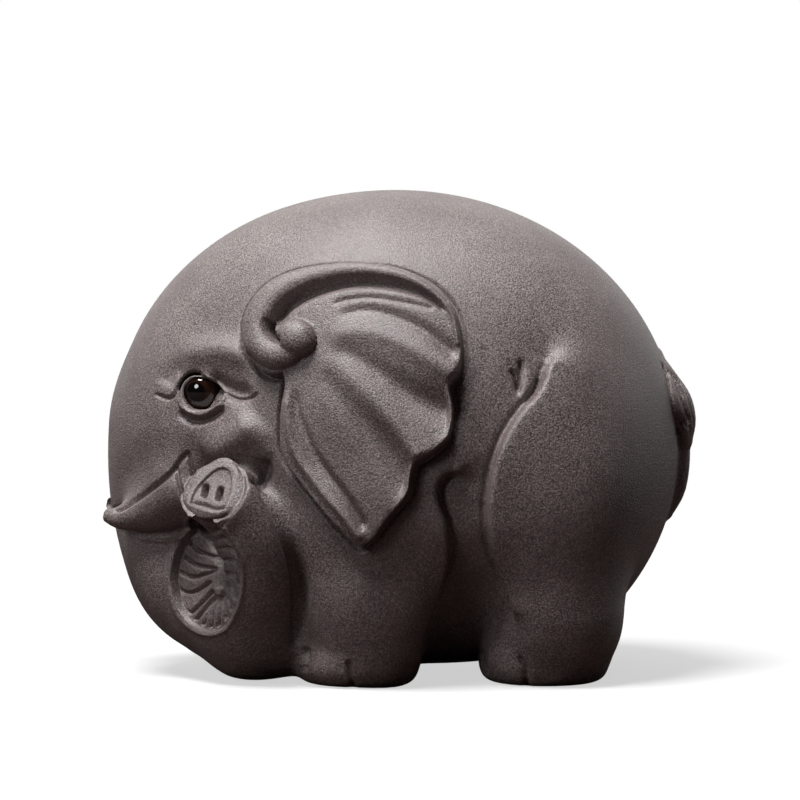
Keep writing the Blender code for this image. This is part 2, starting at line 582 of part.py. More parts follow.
# Grooves between the ribs on the two inner sides of the curled trunk.
RIB_GROOVES = [
    [(14.4, 22.8), (15.9, 21.4), (19.1, 20.1)],
    [(13.2, 20.5), (15.5, 18.9), (18.7, 18.2)],
    [(12.5, 17.8), (14.6, 16.7), (16.4, 16.9), (18.7, 17.8)],
    [(12.5, 14.6), (13.9, 13.9), (15.7, 14.2), (18.0, 15.8)],
    [(13.4, 11.0), (14.6, 10.3), (16.0, 11.6), (18.4, 14.1)],
    [(15.3, 8.7), (16.6, 10.5), (18.0, 12.5), (18.7, 13.5)],
    [(16.8, 7.8), (17.6, 11.0), (18.9, 13.2)],
    [(18.2, 7.7), (18.5, 10.5), (19.2, 13.0)],
    [(19.6, 8.0), (19.6, 10.5), (19.6, 13.0)],
    [(20.9, 9.3), (20.5, 11.2), (20.0, 13.2)],
    [(21.9, 10.9), (21.4, 12.3), (20.3, 13.7)],
    [(22.6, 13.0), (21.9, 14.6), (20.9, 15.5), (20.0, 15.5)],
    [(23.2, 15.5), (22.3, 16.9), (21.0, 17.4), (20.0, 16.9)],
    [(23.3, 18.0), (22.3, 19.4), (21.0, 19.8), (19.8, 19.0)],
    [(22.8, 20.5), (21.6, 21.7), (20.3, 21.9), (19.2, 21.0)],
    [(21.7, 22.8), (20.3, 23.7), (19.2, 23.7), (18.2, 22.8)],
    [(20.1, 25.1), (18.5, 25.5), (16.9, 24.9)],
]


def model_trunk_curl(relief):
    chosen, inside = relief.inside(curve_through(RECESS), side=-1)
    relief.height[chosen] -= RECESS_DEPTH * ramp((inside + 0.15) / 0.6)
    relief.height[chosen] += 0.35 * np.exp(-(((inside + 0.6) / 0.5) ** 2))
    relief.look(-RECESS_DEPTH)
    relief.stroke(SLIT, 0.45, -1.5, side=-1, taper=0.04)
    for groove in RIB_GROOVES:
        relief.stroke(groove, 0.28, -0.6, side=-1)
    relief.look(0.0)


TRUNK_END = [(13.4, 30.8), (13.9, 32.4), (14.8, 34.0), (16.0, 35.6), (17.6, 36.8), (19.4, 37.6),
             (21.2, 37.7), (22.3, 37.4), (22.8, 36.1), (22.8, 34.4), (22.3, 32.2), (21.6, 30.3),
             (20.7, 28.8), (19.2, 28.1), (17.5, 28.3), (15.5, 29.0), (14.1, 29.7), (13.4, 30.8)]
NOSTRIL_PLATE = [(14.6, 30.1), (15.0, 31.5), (16.0, 33.1), (17.5, 34.7), (18.9, 35.8), (20.3, 36.3),
                 (21.4, 35.8), (21.9, 34.2), (21.7, 32.0), (21.2, 30.3), (20.3, 29.0), (18.9, 28.8),
                 (17.5, 29.4), (16.0, 29.7), (14.6, 30.1)]
LIP_LINE = [(14.8, 29.9), (16.0, 29.9), (17.5, 29.5), (18.9, 29.0), (20.3, 29.2)]
NOSTRILS = [[(17.1, 33.0), (16.8, 31.7)], [(19.7, 32.5), (19.3, 31.1)]]


def model_trunk_tip(relief):
    """Rim, nostrils and lip line on the plate that closes the trunk, and only there."""
    tip, facing = trunk_tip()
    before = relief.height.copy()
    chosen, inside = relief.inside(curve_through(NOSTRIL_PLATE), side=-1)
    relief.height[chosen] -= 0.5 * ramp((inside + 0.1) / 0.3)
    chosen, inside = relief.inside(curve_through(TRUNK_END), side=-1)
    relief.height[chosen] -= 0.9 * np.clip(-inside, 0, 2.5)
    relief.stroke(LIP_LINE, 0.35, -0.6, side=-1)
    for nostril in NOSTRILS:
        relief.stroke(nostril, 0.42, -1.8, side=-1)
    on_plate = (np.linalg.norm(relief.points - tip, axis=1) < 8) & (relief.normals @ facing > 0.6)
    relief.height = np.where(on_plate, relief.height, before)


def model_legs(relief):
    # The crease in front of each thigh, the skin folds at its top, and the crease behind each foreleg.
    relief.crease([(78.7, 55.2), (77.1, 53.6), (76.6, 51.4), (75.7, 49.7), (74.4, 48.1), (73.2, 46.6),
                   (71.8, 44.7), (70.5, 42.5), (69.3, 39.9), (68.4, 37.2), (67.7, 34.4), (67.3, 31.3),
                   (67.1, 28.3), (67.3, 25.1), (67.8, 21.9), (68.9, 18.9), (70.0, 16.2), (71.2, 13.5),
                   (72.3, 10.9)][::-1], 0.7, 1.0, 1.7, 9.0, 0.5)
    relief.stroke([(71.4, 53.8), (72.3, 52.9), (72.7, 51.3), (73.0, 49.5)], 0.4, -0.9, taper=0.2)
    relief.stroke([(73.4, 55.9), (73.6, 53.9), (73.5, 51.8), (72.8, 48.6)], 0.5, -1.0, taper=0.2)
    relief.crease([(62.1, 35.2), (60.9, 34.9), (59.8, 34.2), (59.1, 32.8), (59.1, 30.8), (59.7, 28.7),
                   (60.4, 26.7), (60.9, 24.4), (61.1, 21.9), (60.9, 19.8), (60.2, 17.1), (59.1, 14.4),
                   (57.9, 11.7), (56.6, 8.7), (55.7, 5.5),
                   (55.0, 2.7)], 0.7, 1.2, 1.6, 8.0, 0.4, taper=0.06)
    # Lines between the toes.
    relief.stroke([(35.4, 4.5), (35.2, 2.3), (34.7, -0.5)], 0.5, -0.9, taper=0.2)
    relief.stroke([(42.9, 1.2), (43.1, -0.5), (43.5, -2.7)], 0.5, -0.8)
    relief.stroke([(66.4, 4.1), (66.6, 2.0), (67.3, -0.9)], 0.5, -0.9, taper=0.2)
    relief.stroke([(73.4, 2.0), (74.1, 0.4), (74.4, -2.3)], 0.5, -0.9)


def model_relief(mesh):
    """Works the ears, eyes, face, trunk and legs into the smooth clay."""
    points, normals = read_points(mesh), read_normals(mesh)
    relief = Relief(points, normals)
    model_legs(relief)
    model_face(relief)
    model_eye(relief)
    model_trunk_curl(relief)
    model_ear(relief)
    relief.height *= ramp(np.abs(normals[:, 1]) / 0.35)
    model_trunk_tip(relief)
    write_points(mesh, points + normals * relief.height[:, None])


def make_clay(voxel):
    """The whole of the clay, still solid, with its relief worked in."""
    pieces = [piece for lump in [Body(), *masses()] for piece in lump.block()]
    for piece in pieces:
        stand_on_floor(piece)
    clay = press_together(pieces, "body", voxel)
    settle(clay.data, clay_field, SETTLE_STEPS)
    reskin(clay, voxel)
    relax(clay)
    settle(clay.data, clay_field, 2)
    subdivide(clay)
    settle(clay.data, clay_field, 1)
    model_relief(clay.data)
    return clay


def eye_centre():
    """Centre of the left eye, as deep in the clay as leaves the bead standing proud of the flank."""
    depths = np.linspace(-HALF_WIDTH - 4, -HALF_WIDTH / 4, EYE_SEARCH)
    line = np.stack([np.full(EYE_SEARCH, FRONT + EYE_BACK), depths, np.full(EYE_SEARCH, EYE_HEIGHT)], axis=1)
    field = clay_field(line)
    skin = line[np.argmax(field < 0)]
    nudges = clay_field(np.vstack([skin, skin + np.eye(3) * 0.5]))
    slope = np.linalg.norm(nudges[1:] - nudges[0]) / 0.5
    return line[np.argmax(field < (EYE_PROUD - EYE_DIAMETER / 2) * slope)]


def thin_out(obj, triangles):
    """Thins the mesh to about that many triangles, keeping most where it bends most."""
    count = sum(len(face.vertices) - 2 for face in obj.data.polygons)
    apply_modifier(obj, "thin out", "DECIMATE", ratio=triangles / count)


def stand_on_floor(obj):
    """Brings every point that lies under the floor up to it."""
    points = read_points(obj.data)
    points[:, 2] = np.maximum(points[:, 2], 0)
    write_points(obj.data, points)


def make_cutters():
    """The hollow, its vent and the two eye sockets, in place to be taken from the clay."""
    hollow = new_ball(*HOLLOW, HOLLOW_SEGMENTS)
    points = read_points(hollow.data)
    points[:, 2] = np.maximum(points[:, 2], BELLY_HEIGHT + FLOOR_THICKNESS)
    write_points(hollow.data, points)
    bpy.ops.mesh.primitive_cylinder_add(
        vertices=VENT_SEGMENTS, radius=VENT_DIAMETER / 2 * MM, depth=4 * FLOOR_THICKNESS * MM,
        location=(VENT_X * MM, 0, FLOOR_THICKNESS * MM))
    vent = bpy.context.object
    bpy.ops.object.transform_apply(location=True, rotation=False, scale=False)
    cutters = {"hollow": hollow, "vent": vent}
    for name, side in SIDES:
        radii = np.full(3, EYE_DIAMETER / 2 + EYE_GAP)
        cutters[name + " socket"] = new_ball(eye_centre() * [1, side, 1], radii, EYE_SEGMENTS)
    return cutters


def make_eyes():
    radii = np.full(3, EYE_DIAMETER / 2)
    eyes = []
    for name, side in SIDES:
        eye = new_ball(eye_centre() * [1, side, 1], radii, EYE_SEGMENTS)
        eye.name = "eye_" + name
        eyes.append(eye)
    return eyes


def new_material(name, colour, roughness):
    material = bpy.data.materials.new(name)
    material.use_nodes = True
    shader = material.node_tree.nodes["Principled BSDF"]
    shader.inputs["Base Color"].default_value = (*colour, 1)
    shader.inputs["Roughness"].default_value = roughness
    return material


def move_to(obj, collection):
    for home in list(obj.users_collection):
        home.objects.unlink(obj)
    collection.objects.link(obj)


def main():
    for obj in list(bpy.data.objects):
        bpy.data.objects.remove(obj)
    tea_pet = bpy.data.collections.new("elephant tea pet")
    tools = bpy.data.collections.new("cutters")
    for collection in (tea_pet, tools):
        bpy.context.scene.collection.children.link(collection)

    clay = make_clay(VOXEL)
    thin_out(clay, CLAY_TRIANGLES)
    stand_on_floor(clay)
    cutters = make_cutters()
    eyes = make_eyes()

    # The middle of the piece's box is brought over the origin.
    points = read_points(clay.data)
    middle = (points.min(axis=0) + points.max(axis=0)) / 2 * [1, 1, 0]
    for obj in (clay, *cutters.values(), *eyes):
        write_points(obj.data, read_points(obj.data) - middle)

    for name, cutter in cutters.items():
        cutter.name = name
        cutter.display_type = "WIRE"
        cutter.hide_render = True
        move_to(cutter, tools)
        cut = clay.modifiers.new(name, "BOOLEAN")
        cut.operation = "DIFFERENCE"
        cut.solver = "EXACT"
        cut.object = cutter
    move_to(clay, tea_pet)
    clay.data.materials.append(new_material("unglazed purple clay", CLAY_COLOUR, 0.6))
    glass = new_material("dark glass", GLASS_COLOUR, 0.05)
    for eye in eyes:
        move_to(eye, tea_pet)
        eye.data.materials.append(glass)


if __name__ == "__main__":
    main()
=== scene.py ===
"""The looks of a round clay elephant for the tea tray: its fired clay in full relief, its two glass eyes,
and a table with soft light from above. The elephant's sizes are in millimetres, and those of the table, the
lamps and the camera are in metres. The head looks along -X, +Z is up and the soles stand on Z = 0.
"""

import math  # noqa: E402

import bmesh  # noqa: E402
import bpy  # noqa: E402
import numpy as np  # noqa: E402
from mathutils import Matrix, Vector  # noqa: E402


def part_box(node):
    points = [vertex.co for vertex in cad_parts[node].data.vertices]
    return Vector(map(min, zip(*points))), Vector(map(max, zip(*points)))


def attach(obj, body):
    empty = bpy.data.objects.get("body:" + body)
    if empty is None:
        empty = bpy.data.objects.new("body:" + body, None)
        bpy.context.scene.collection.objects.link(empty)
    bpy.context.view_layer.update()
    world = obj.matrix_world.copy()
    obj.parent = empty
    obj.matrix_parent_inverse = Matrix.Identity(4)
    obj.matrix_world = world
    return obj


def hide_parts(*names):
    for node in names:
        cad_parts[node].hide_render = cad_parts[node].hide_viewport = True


MM = 0.001

# Places along the elephant are measured from the front plane, which the tusks reach.
# The rounded body's fullness is 2 where it is an ellipse, and more where it is squarer.
FRONT = -52.0
BODY_FRONT = FRONT + 0.7
BODY_LENGTH = 100.8
BODY_WIDTH = 72.0
BODY_DEPTH = 90.4
BACK_HEIGHT = 85.7
SIDE_FULLNESS = 2.03
HEAD_FULLNESS = 2.12
FLANK_FULLNESS = 2.4
BELLY_HEIGHT = 1.4
BELLY_ROUNDING = 9.0
SOLE_ROUNDING = 1.6
CUT_ROUNDING = 0.8

# Clay wall and the vent that lets the hollow breathe in the kiln.
WALL = 6.5
FLOOR_THICKNESS = 6.0
VENT_DIAMETER = 8.0
VENT_X = 6.0
HOLLOW_START = 22.0

# Glass eyes, with their place behind the front and above the floor.
EYE_DIAMETER = 8.0
EYE_GAP = 0.3
EYE_BACK = 17.3
EYE_HEIGHT = 51.7
EYE_PROUD = 0.15

# The body narrows by these shares: at the face and jaw over the runs before their ends, and at the belly and
# jaw below their tops.
FACE_TAPER = 0.16
FACE_END = 44.0
FACE_RUN = 30.0
BELLY_TAPER = 0.34
BELLY_TOP = 31.0
JAW_TAPER = 0.42
JAW_END = 40.0
JAW_RUN = 26.0
JAW_TOP = 46.0
JAW_FALL = 26.0

# The tail lies a little to the left, and its outer pleats lie lower and follow the curve of the rump.
TAIL_PLEATS = 7
PLEAT_RADIUS = 1.2
PLEAT_FALL = 0.35
RUMP_CURVE = 0.030
TAIL_ASIDE = -1.0

# How finely the clay is worked, and how many triangles it keeps.
VOXEL = 0.8
CLAY_TRIANGLES = 190000
SETTLE_STEPS = 8
RELAX_STEPS = 4
LONGEST_STEP = 2.0
SLOPE_PROBE = 0.05
LEAST_SLOPE = 0.5
TUBE_SPACING = 1.0
EYE_SEARCH = 600
EYE_PROBE = 0.5
BALL_SEGMENTS = 96
EYE_SEGMENTS = 96
HOLLOW_SEGMENTS = 64
VENT_SEGMENTS = 32

# The side view in which the relief is drawn: how far off its eye is, how high it looks, and how steeply down.
VIEW_DISTANCE = 2000.0
VIEW_CENTRE = 48.4
VIEW_RISE = math.radians(5)

SIDES = [("left", 1), ("right", -1)]

BODY_CENTRE_X = BODY_FRONT + BODY_LENGTH / 2
REAR = BODY_FRONT + BODY_LENGTH
BODY_CENTRE_Z = BACK_HEIGHT - BODY_DEPTH / 2
HALF_WIDTH = BODY_WIDTH / 2
# The hollow stops short of the face, whose trunk and eyes need the clay.
HOLLOW_FRONT = FRONT + HOLLOW_START
HOLLOW_BACK = REAR - WALL
HOLLOW_CENTRE = ((HOLLOW_FRONT + REAR - WALL) / 2, 0, BODY_CENTRE_Z + FLOOR_THICKNESS / 4)
HOLLOW_RADII = ((HOLLOW_BACK - HOLLOW_FRONT) / 2, HALF_WIDTH - WALL,
                BODY_DEPTH / 2 - WALL - FLOOR_THICKNESS / 4)


def soft_min(a, b, blend):
    """The lower of two fields, rounded where they come within the blend of each other."""
    share = np.clip(0.5 + 0.5 * (b - a) / blend, 0, 1)
    return b + (a - b) * share - blend * share * (1 - share)


def soft_max(a, b, blend):
    """The higher of two fields, rounded in the same way."""
    return -soft_min(-a, -b, blend)


def ramp(values):
    """0 below 0, 1 above 1 and a smooth rise between."""
    share = np.clip(values, 0, 1)
    return share * share * (3 - 2 * share)


def eased(places, first, added, start, length):
    """A value that is the first up to the start, and has that much added over the length after it."""
    return first + added * ramp((places - start) / length)


def curve_through(points, spacing=0.8, width=2):
    """Points about this far apart on a smooth curve through the given ones, by their first columns."""
    knots = np.asarray(points, float)
    ends = np.vstack([2 * knots[0] - knots[1], knots, 2 * knots[-1] - knots[-2]])
    samples = []
    for before, start, end, after in zip(ends, ends[1:], ends[2:], ends[3:]):
        count = max(2, int(np.linalg.norm((end - start)[:width]) / spacing) + 1)
        t = np.arange(count)[:, None] / count
        samples.append(
            0.5 * (2 * start + (end - before) * t + (2 * before - 5 * start + 4 * end - after) * t**2
                   + (3 * start - before - 3 * end + after) * t**3)
        )
    return np.vstack([*samples, knots[-1:]])


def nearest_on(path, points):
    """Distance from each point to a chain of straight runs, and the place along it, counted in runs."""
    best = np.full(len(points), np.inf)
    place = np.zeros(len(points))
    for i, (start, end) in enumerate(zip(path, path[1:])):
        run = end - start
        share = np.clip((points - start) @ run / max(run @ run, 1e-12), 0, 1)
        gap = np.linalg.norm(points - start - share[:, None] * run, axis=1)
        nearer = gap < best
        best[nearer] = gap[nearer]
        place[nearer] = i + share[nearer]
    return best, place


class Body:
    """The rounded body: nearly an ellipse from the side, fuller over the head and across, flat at the belly.
    It narrows towards the face and towards the belly, and most of all beside the trunk."""

    def taper(self, points):
        x, z = points[:, 0] - FRONT, points[:, 2]
        face = 1 - FACE_TAPER * ramp((FACE_END - x) / FACE_RUN)
        belly = 1 - BELLY_TAPER * ramp((BELLY_TOP - z) / BELLY_TOP)
        jaw = 1 - JAW_TAPER * ramp((JAW_END - x) / JAW_RUN) * ramp((JAW_TOP - z) / JAW_FALL)
        return face * belly * jaw

    def distance(self, points):
        x = (points[:, 0] - BODY_CENTRE_X) / (BODY_LENGTH / 2)
        y = np.abs(points[:, 1]) / (HALF_WIDTH * self.taper(points))
        z = (points[:, 2] - BODY_CENTRE_Z) / (BODY_DEPTH / 2)
        fullness = SIDE_FULLNESS + (HEAD_FULLNESS - SIDE_FULLNESS) * ramp(-2 * x) * ramp(2 * z)
        side = (np.abs(x) ** fullness + np.abs(z) ** fullness) ** (1 / fullness)
        size = (side**FLANK_FULLNESS + y**FLANK_FULLNESS) ** (1 / FLANK_FULLNESS)
        reach = np.linalg.norm(points - [BODY_CENTRE_X, 0, BODY_CENTRE_Z], axis=1)
        shell = (size - 1) * reach / np.maximum(size, 1e-6)
        return soft_max(shell, BELLY_HEIGHT - points[:, 2], BELLY_ROUNDING)

    def block(self):
        ball = new_ball((BODY_CENTRE_X, 0, BODY_CENTRE_Z), (BODY_LENGTH / 2, HALF_WIDTH, BODY_DEPTH / 2))
        settle(ball.data, self.distance, SETTLE_STEPS)
        return [ball]


class Lump:
    """Clay added to the body, on the left side only or on both. Its joint with what is there is rounded by
    the blend. Where a soft edge is given, from a start to an end in side view, the rounding grows along it to
    the soft blend."""

    def __init__(self, blend, both_sides, soft_edge=None, soft_blend=0.0):
        self.blend, self.both_sides = blend, both_sides
        self.soft_edge, self.soft_blend = soft_edge, soft_blend

    def sides(self):
        return (1, -1) if self.both_sides else (1,)

    def to_left(self, points):
        """The points, mirrored onto the left where the lump is on both sides."""
        x, y, z = points.T
        return np.stack([x, -np.abs(y), z], axis=1) if self.both_sides else points

    def blend_at(self, points):
        if self.soft_edge is None:
            return self.blend
        start, end = self.soft_edge
        share = ramp(((points[:, [0, 2]] - start) @ (end - start)) / ((end - start) @ (end - start)))
        return self.blend + (self.soft_blend - self.blend) * share

    def add_to(self, field, points):
        points = self.to_left(points)
        margin = 4 + max(self.blend, self.soft_blend)
        low, high = self.bounds()
        near = np.flatnonzero(((points > low - margin) & (points < high + margin)).all(axis=1))
        if len(near):
            chosen = points[near]
            field[near] = soft_min(field[near], self.distance(chosen), self.blend_at(chosen))


class Ball(Lump):
    """An ellipsoid."""

    def __init__(self, centre, radii, blend, both_sides=True, **softness):
        super().__init__(blend, both_sides, **softness)
        self.centre, self.radii = np.array(centre, float), np.array(radii, float)

    def bounds(self):
        return self.centre - self.radii, self.centre + self.radii

    def distance(self, points):
        offset = (points - self.centre) / self.radii
        size = np.linalg.norm(offset, axis=1)
        slope = np.linalg.norm(offset / self.radii, axis=1)
        return size * (size - 1) / np.maximum(slope, 1e-9)

    def block(self):
        return [new_ball(self.centre * [1, side, 1], self.radii) for side in self.sides()]


class Tube(Lump):
    """A swelling and tapering tube along a smooth spine of (x, y, z, radius).
    Its end may be cut by a plane, given as a point and the way it faces."""

    def __init__(self, spine, blend, both_sides=False, cut=None, **softness):
        super().__init__(blend, both_sides, **softness)
        self.spine, self.cut = curve_through(spine, TUBE_SPACING, 3), cut

    def bounds(self):
        centres, radii = self.spine[:, :3], self.spine[:, 3:]
        return (centres - radii).min(axis=0), (centres + radii).max(axis=0)

    def distance(self, points):
        """The envelope of balls along the spine, smoothed by a parabola through the nearest three."""
        gaps = np.stack([np.linalg.norm(points - ball[:3], axis=1) - ball[3] for ball in self.spine])
        nearest = np.clip(gaps.argmin(axis=0), 1, len(gaps) - 2)
        column = np.arange(len(points))
        before, here, after = gaps[nearest - 1, column], gaps[nearest, column], gaps[nearest + 1, column]
        bend = np.maximum(before - 2 * here + after, 1e-6)
        shift = np.clip((before - after) / (2 * bend), -1, 1)
        best = here + 0.5 * (after - before) * shift + 0.5 * bend * shift**2
        if self.cut is not None:
            place, facing = self.cut
            best = soft_max(best, (points - place) @ facing, CUT_ROUNDING)
        return best

    def block(self):
        return [new_tube(self.spine * [1, side, 1, 1]) for side in self.sides()]


def body_rear(z):
    """X of the body's rear on the middle plane at that height."""
    rise = abs(z - BODY_CENTRE_Z) / (BODY_DEPTH / 2)
    return BODY_CENTRE_X + BODY_LENGTH / 2 * (1 - rise**SIDE_FULLNESS) ** (1 / SIDE_FULLNESS)


def trunk_tip():
    """Middle of the nostril plate and the way that it faces: forwards, outwards and up."""
    facing = np.array([-0.42, -0.72, 0.55])
    return np.array([FRONT + 17.7, -32.0, 35.4]), facing / np.linalg.norm(facing)


def masses():
    """Every lump of clay that is added to the body, in the order in which they are pressed on."""
    tip, facing = trunk_tip()
    # Thigh, shank and foot behind, then foreleg, foot and chest in front.
    thigh = Ball((REAR - 22.8, -17.5, 34.0), (15.5, 17.5, 24.5), 7.0)
    shank = Tube([(REAR - 23.2, -20.0, 26, 12.0), (REAR - 21.7, -20.3, 13, 11.7),
                  (REAR - 23.0, -18.8, 8, 11.0)], 4.0, both_sides=True)
    hind_foot = Ball((REAR - 24.3, -17.4, 3.8), (11.4, 10.9, 7.4), 2.0)
    foreleg = Tube([(FRONT + 46.5, -21.5, 32, 13.4), (FRONT + 46.5, -23.0, 20, 12.6),
                    (FRONT + 46.0, -21.8, 9, 10.7)], 5.0, both_sides=True)
    front_foot = Ball((FRONT + 44.2, -20.4, 3.6), (10.9, 10.7, 6.2), 1.6)
    chest = Ball((FRONT + 35.0, -11.0, 13.0), (12.0, 13.5, 12.5), 3.0)
    # Trunk: down the middle of the face, round under it and up on the left cheek.
    trunk = Tube([(FRONT + 18.2, 0, 44, 16.8), (FRONT + 15.7, -1, 30, 14.5), (FRONT + 16.8, -5, 19.3, 12.9),
                  (FRONT + 20.4, -10.5, 14.0, 10.8), (FRONT + 26.4, -17.5, 11.1, 10.6)], 4.0)
    # The filling is what the hollow of the curl is carved in.
    filling = [Tube([(FRONT + 18.5, -13.5, 12.0, 6.0), (FRONT + 18.5, -13.5, 19.5, 7.4),
                     (FRONT + 18.5, -14.0, 28.0, 6.2)], 2.5),
               Tube([(FRONT + 23.5, -19.5, 13.5, 6.0), (FRONT + 23.5, -20.0, 19.5, 6.8),
                     (FRONT + 22.8, -21.0, 27.0, 5.8)], 2.5)]
    curl = Tube([(FRONT + 26.4, -17.5, 11.1, 10.6), (FRONT + 27.2, -24.0, 18, 8.6),
                 (FRONT + 26.8, -28.0, 26, 7.7), (FRONT + 23.6, -30.2, 32, 6.7),
                 tuple(tip + facing * 2) + (5.5,)], 2.4, cut=(tip, facing))
    tusk = Tube([(FRONT + 14.4, -17.2, 34.1, 6.3), (FRONT + 11.4, -15.8, 32.0, 5.1),
                 (FRONT + 7.8, -14.0, 30.2, 3.8), (FRONT + 4.3, -12.6, 28.9, 2.6),
                 (FRONT + 2.1, -11.6, 28.5, 1.9), (FRONT - 0.1, -10.4, 28.8, 1.1)], 0.8, both_sides=True,
                soft_edge=(np.array([FRONT + 8, 29]), np.array([FRONT + 5, 36])), soft_blend=5.0)
    # Tail: a root of long pleats, as (height, half width, how far it stands out), that narrows to a strand.
    root = [(56.5, 1.6, -1.3), (53, 5.2, 0.1), (49, 7.0, 1.8), (45, 5.4, 2.1), (41.3, 2.0, 1.3)]
    pleats = []
    for pleat in np.linspace(-1, 1, TAIL_PLEATS):
        spine = [(body_rear(z) + lift * (1 - PLEAT_FALL * pleat**2) - RUMP_CURVE * (wide * pleat) ** 2,
                  wide * pleat + TAIL_ASIDE, z, PLEAT_RADIUS) for z, wide, lift in root]
        pleats.append(Tube(spine, 0.3))
    strand = Tube([(body_rear(z) + out, -0.8, z, r) for z, out, r in
                   ((45, -1.5, 3.2), (39, -0.7, 2.8), (33, -0.3, 2.3), (28.5, -0.6, 1.4))], 0.9)
    return [thigh, shank, hind_foot, foreleg, front_foot, chest, trunk, *filling, curl, tusk, *pleats, strand]


def clay_field(points):
    """Below zero in the clay and above zero outside it. The soles are flat, with a rounded edge."""
    field = Body().distance(points)
    for lump in masses():
        lump.add_to(field, points)
    return soft_max(field, -points[:, 2], SOLE_ROUNDING)


def new_object(name, mesh, collection):
    obj = bpy.data.objects.new(name, mesh)
    collection.objects.link(obj)
    return obj


def new_ball(centre, radii, segments=BALL_SEGMENTS):
    bpy.ops.mesh.primitive_uv_sphere_add(segments=segments, ring_count=segments // 2, radius=1)
    ball = bpy.context.object
    ball.scale = [r * MM for r in radii]
    ball.location = [c * MM for c in centre]
    bpy.ops.object.transform_apply(location=True, rotation=False, scale=True)
    return ball


def new_tube(spine):
    """A closed tube that swells and tapers along the spine, as a mesh."""
    curve = bpy.data.curves.new("spine", "CURVE")
    curve.dimensions = "3D"
    curve.bevel_depth = MM
    curve.bevel_resolution = 6
    curve.use_fill_caps = True
    run = curve.splines.new("POLY")
    run.points.add(len(spine) - 1)
    for point, (x, y, z, radius) in zip(run.points, spine):
        point.co = (x * MM, y * MM, z * MM, 1)
        point.radius = radius
    guide = new_object("spine", curve, bpy.context.scene.collection)
    bpy.context.view_layer.update()
    graph = bpy.context.evaluated_depsgraph_get()
    mesh = bpy.data.meshes.new_from_object(guide.evaluated_get(graph))
    tube = new_object("tube", mesh, bpy.context.scene.collection)
    bpy.data.objects.remove(guide)
    return tube


def apply_modifier(obj, name, kind, **settings):
    """Adds a modifier of that kind with these settings and applies it."""
    modifier = obj.modifiers.new(name, kind)
    for setting, value in settings.items():
        setattr(modifier, setting, value)
    bpy.context.view_layer.objects.active = obj
    bpy.ops.object.modifier_apply(modifier=modifier.name)


def press_together(pieces, name, voxel):
    """Joins the pieces and remeshes them into one skin."""
    bpy.ops.object.select_all(action="DESELECT")
    for piece in pieces:
        piece.select_set(True)
    bpy.context.view_layer.objects.active = pieces[0]
    bpy.ops.object.join()
    lump = bpy.context.object
    lump.name = name
    reskin(lump, voxel)
    return lump


def reskin(obj, voxel):
    """Remeshes the skin evenly, which also opens out any folds in it."""
    apply_modifier(obj, "reskin", "REMESH", mode="VOXEL", voxel_size=voxel * MM, adaptivity=0)


def read_points(mesh):
    points = np.empty(len(mesh.vertices) * 3)
    mesh.vertices.foreach_get("co", points)
    return points.reshape(-1, 3) / MM


def write_points(mesh, points):
    mesh.vertices.foreach_set("co", (points * MM).ravel())
    mesh.update()


def read_normals(mesh):
    normals = np.empty(len(mesh.vertices) * 3, np.float32)
    mesh.vertex_normals.foreach_get("vector", normals)
    return normals.reshape(-1, 3).astype(float)


def settle(mesh, field_of, steps):
    """Moves each point onto the surface where the field is zero, along the field's slope."""
    points = read_points(mesh)
    for _ in range(steps):
        field = field_of(points)
        probes = [field_of(points + way * SLOPE_PROBE) - field for way in np.eye(3)]
        slope = np.stack(probes, axis=1) / SLOPE_PROBE
        step = -field[:, None] * slope / np.maximum((slope**2).sum(axis=1), LEAST_SLOPE**2)[:, None]
        length = np.linalg.norm(step, axis=1)
        points += step * np.minimum(1, LONGEST_STEP / np.maximum(length, 1e-9))[:, None]
    write_points(mesh, points)


def relax(obj):
    """Evens out the skin where lumps meet in a tight joint."""
    apply_modifier(obj, "relax", "SMOOTH", factor=0.5, iterations=RELAX_STEPS)


def subdivide(obj):
    apply_modifier(obj, "subdivide", "SUBSURF", levels=1, render_levels=1)


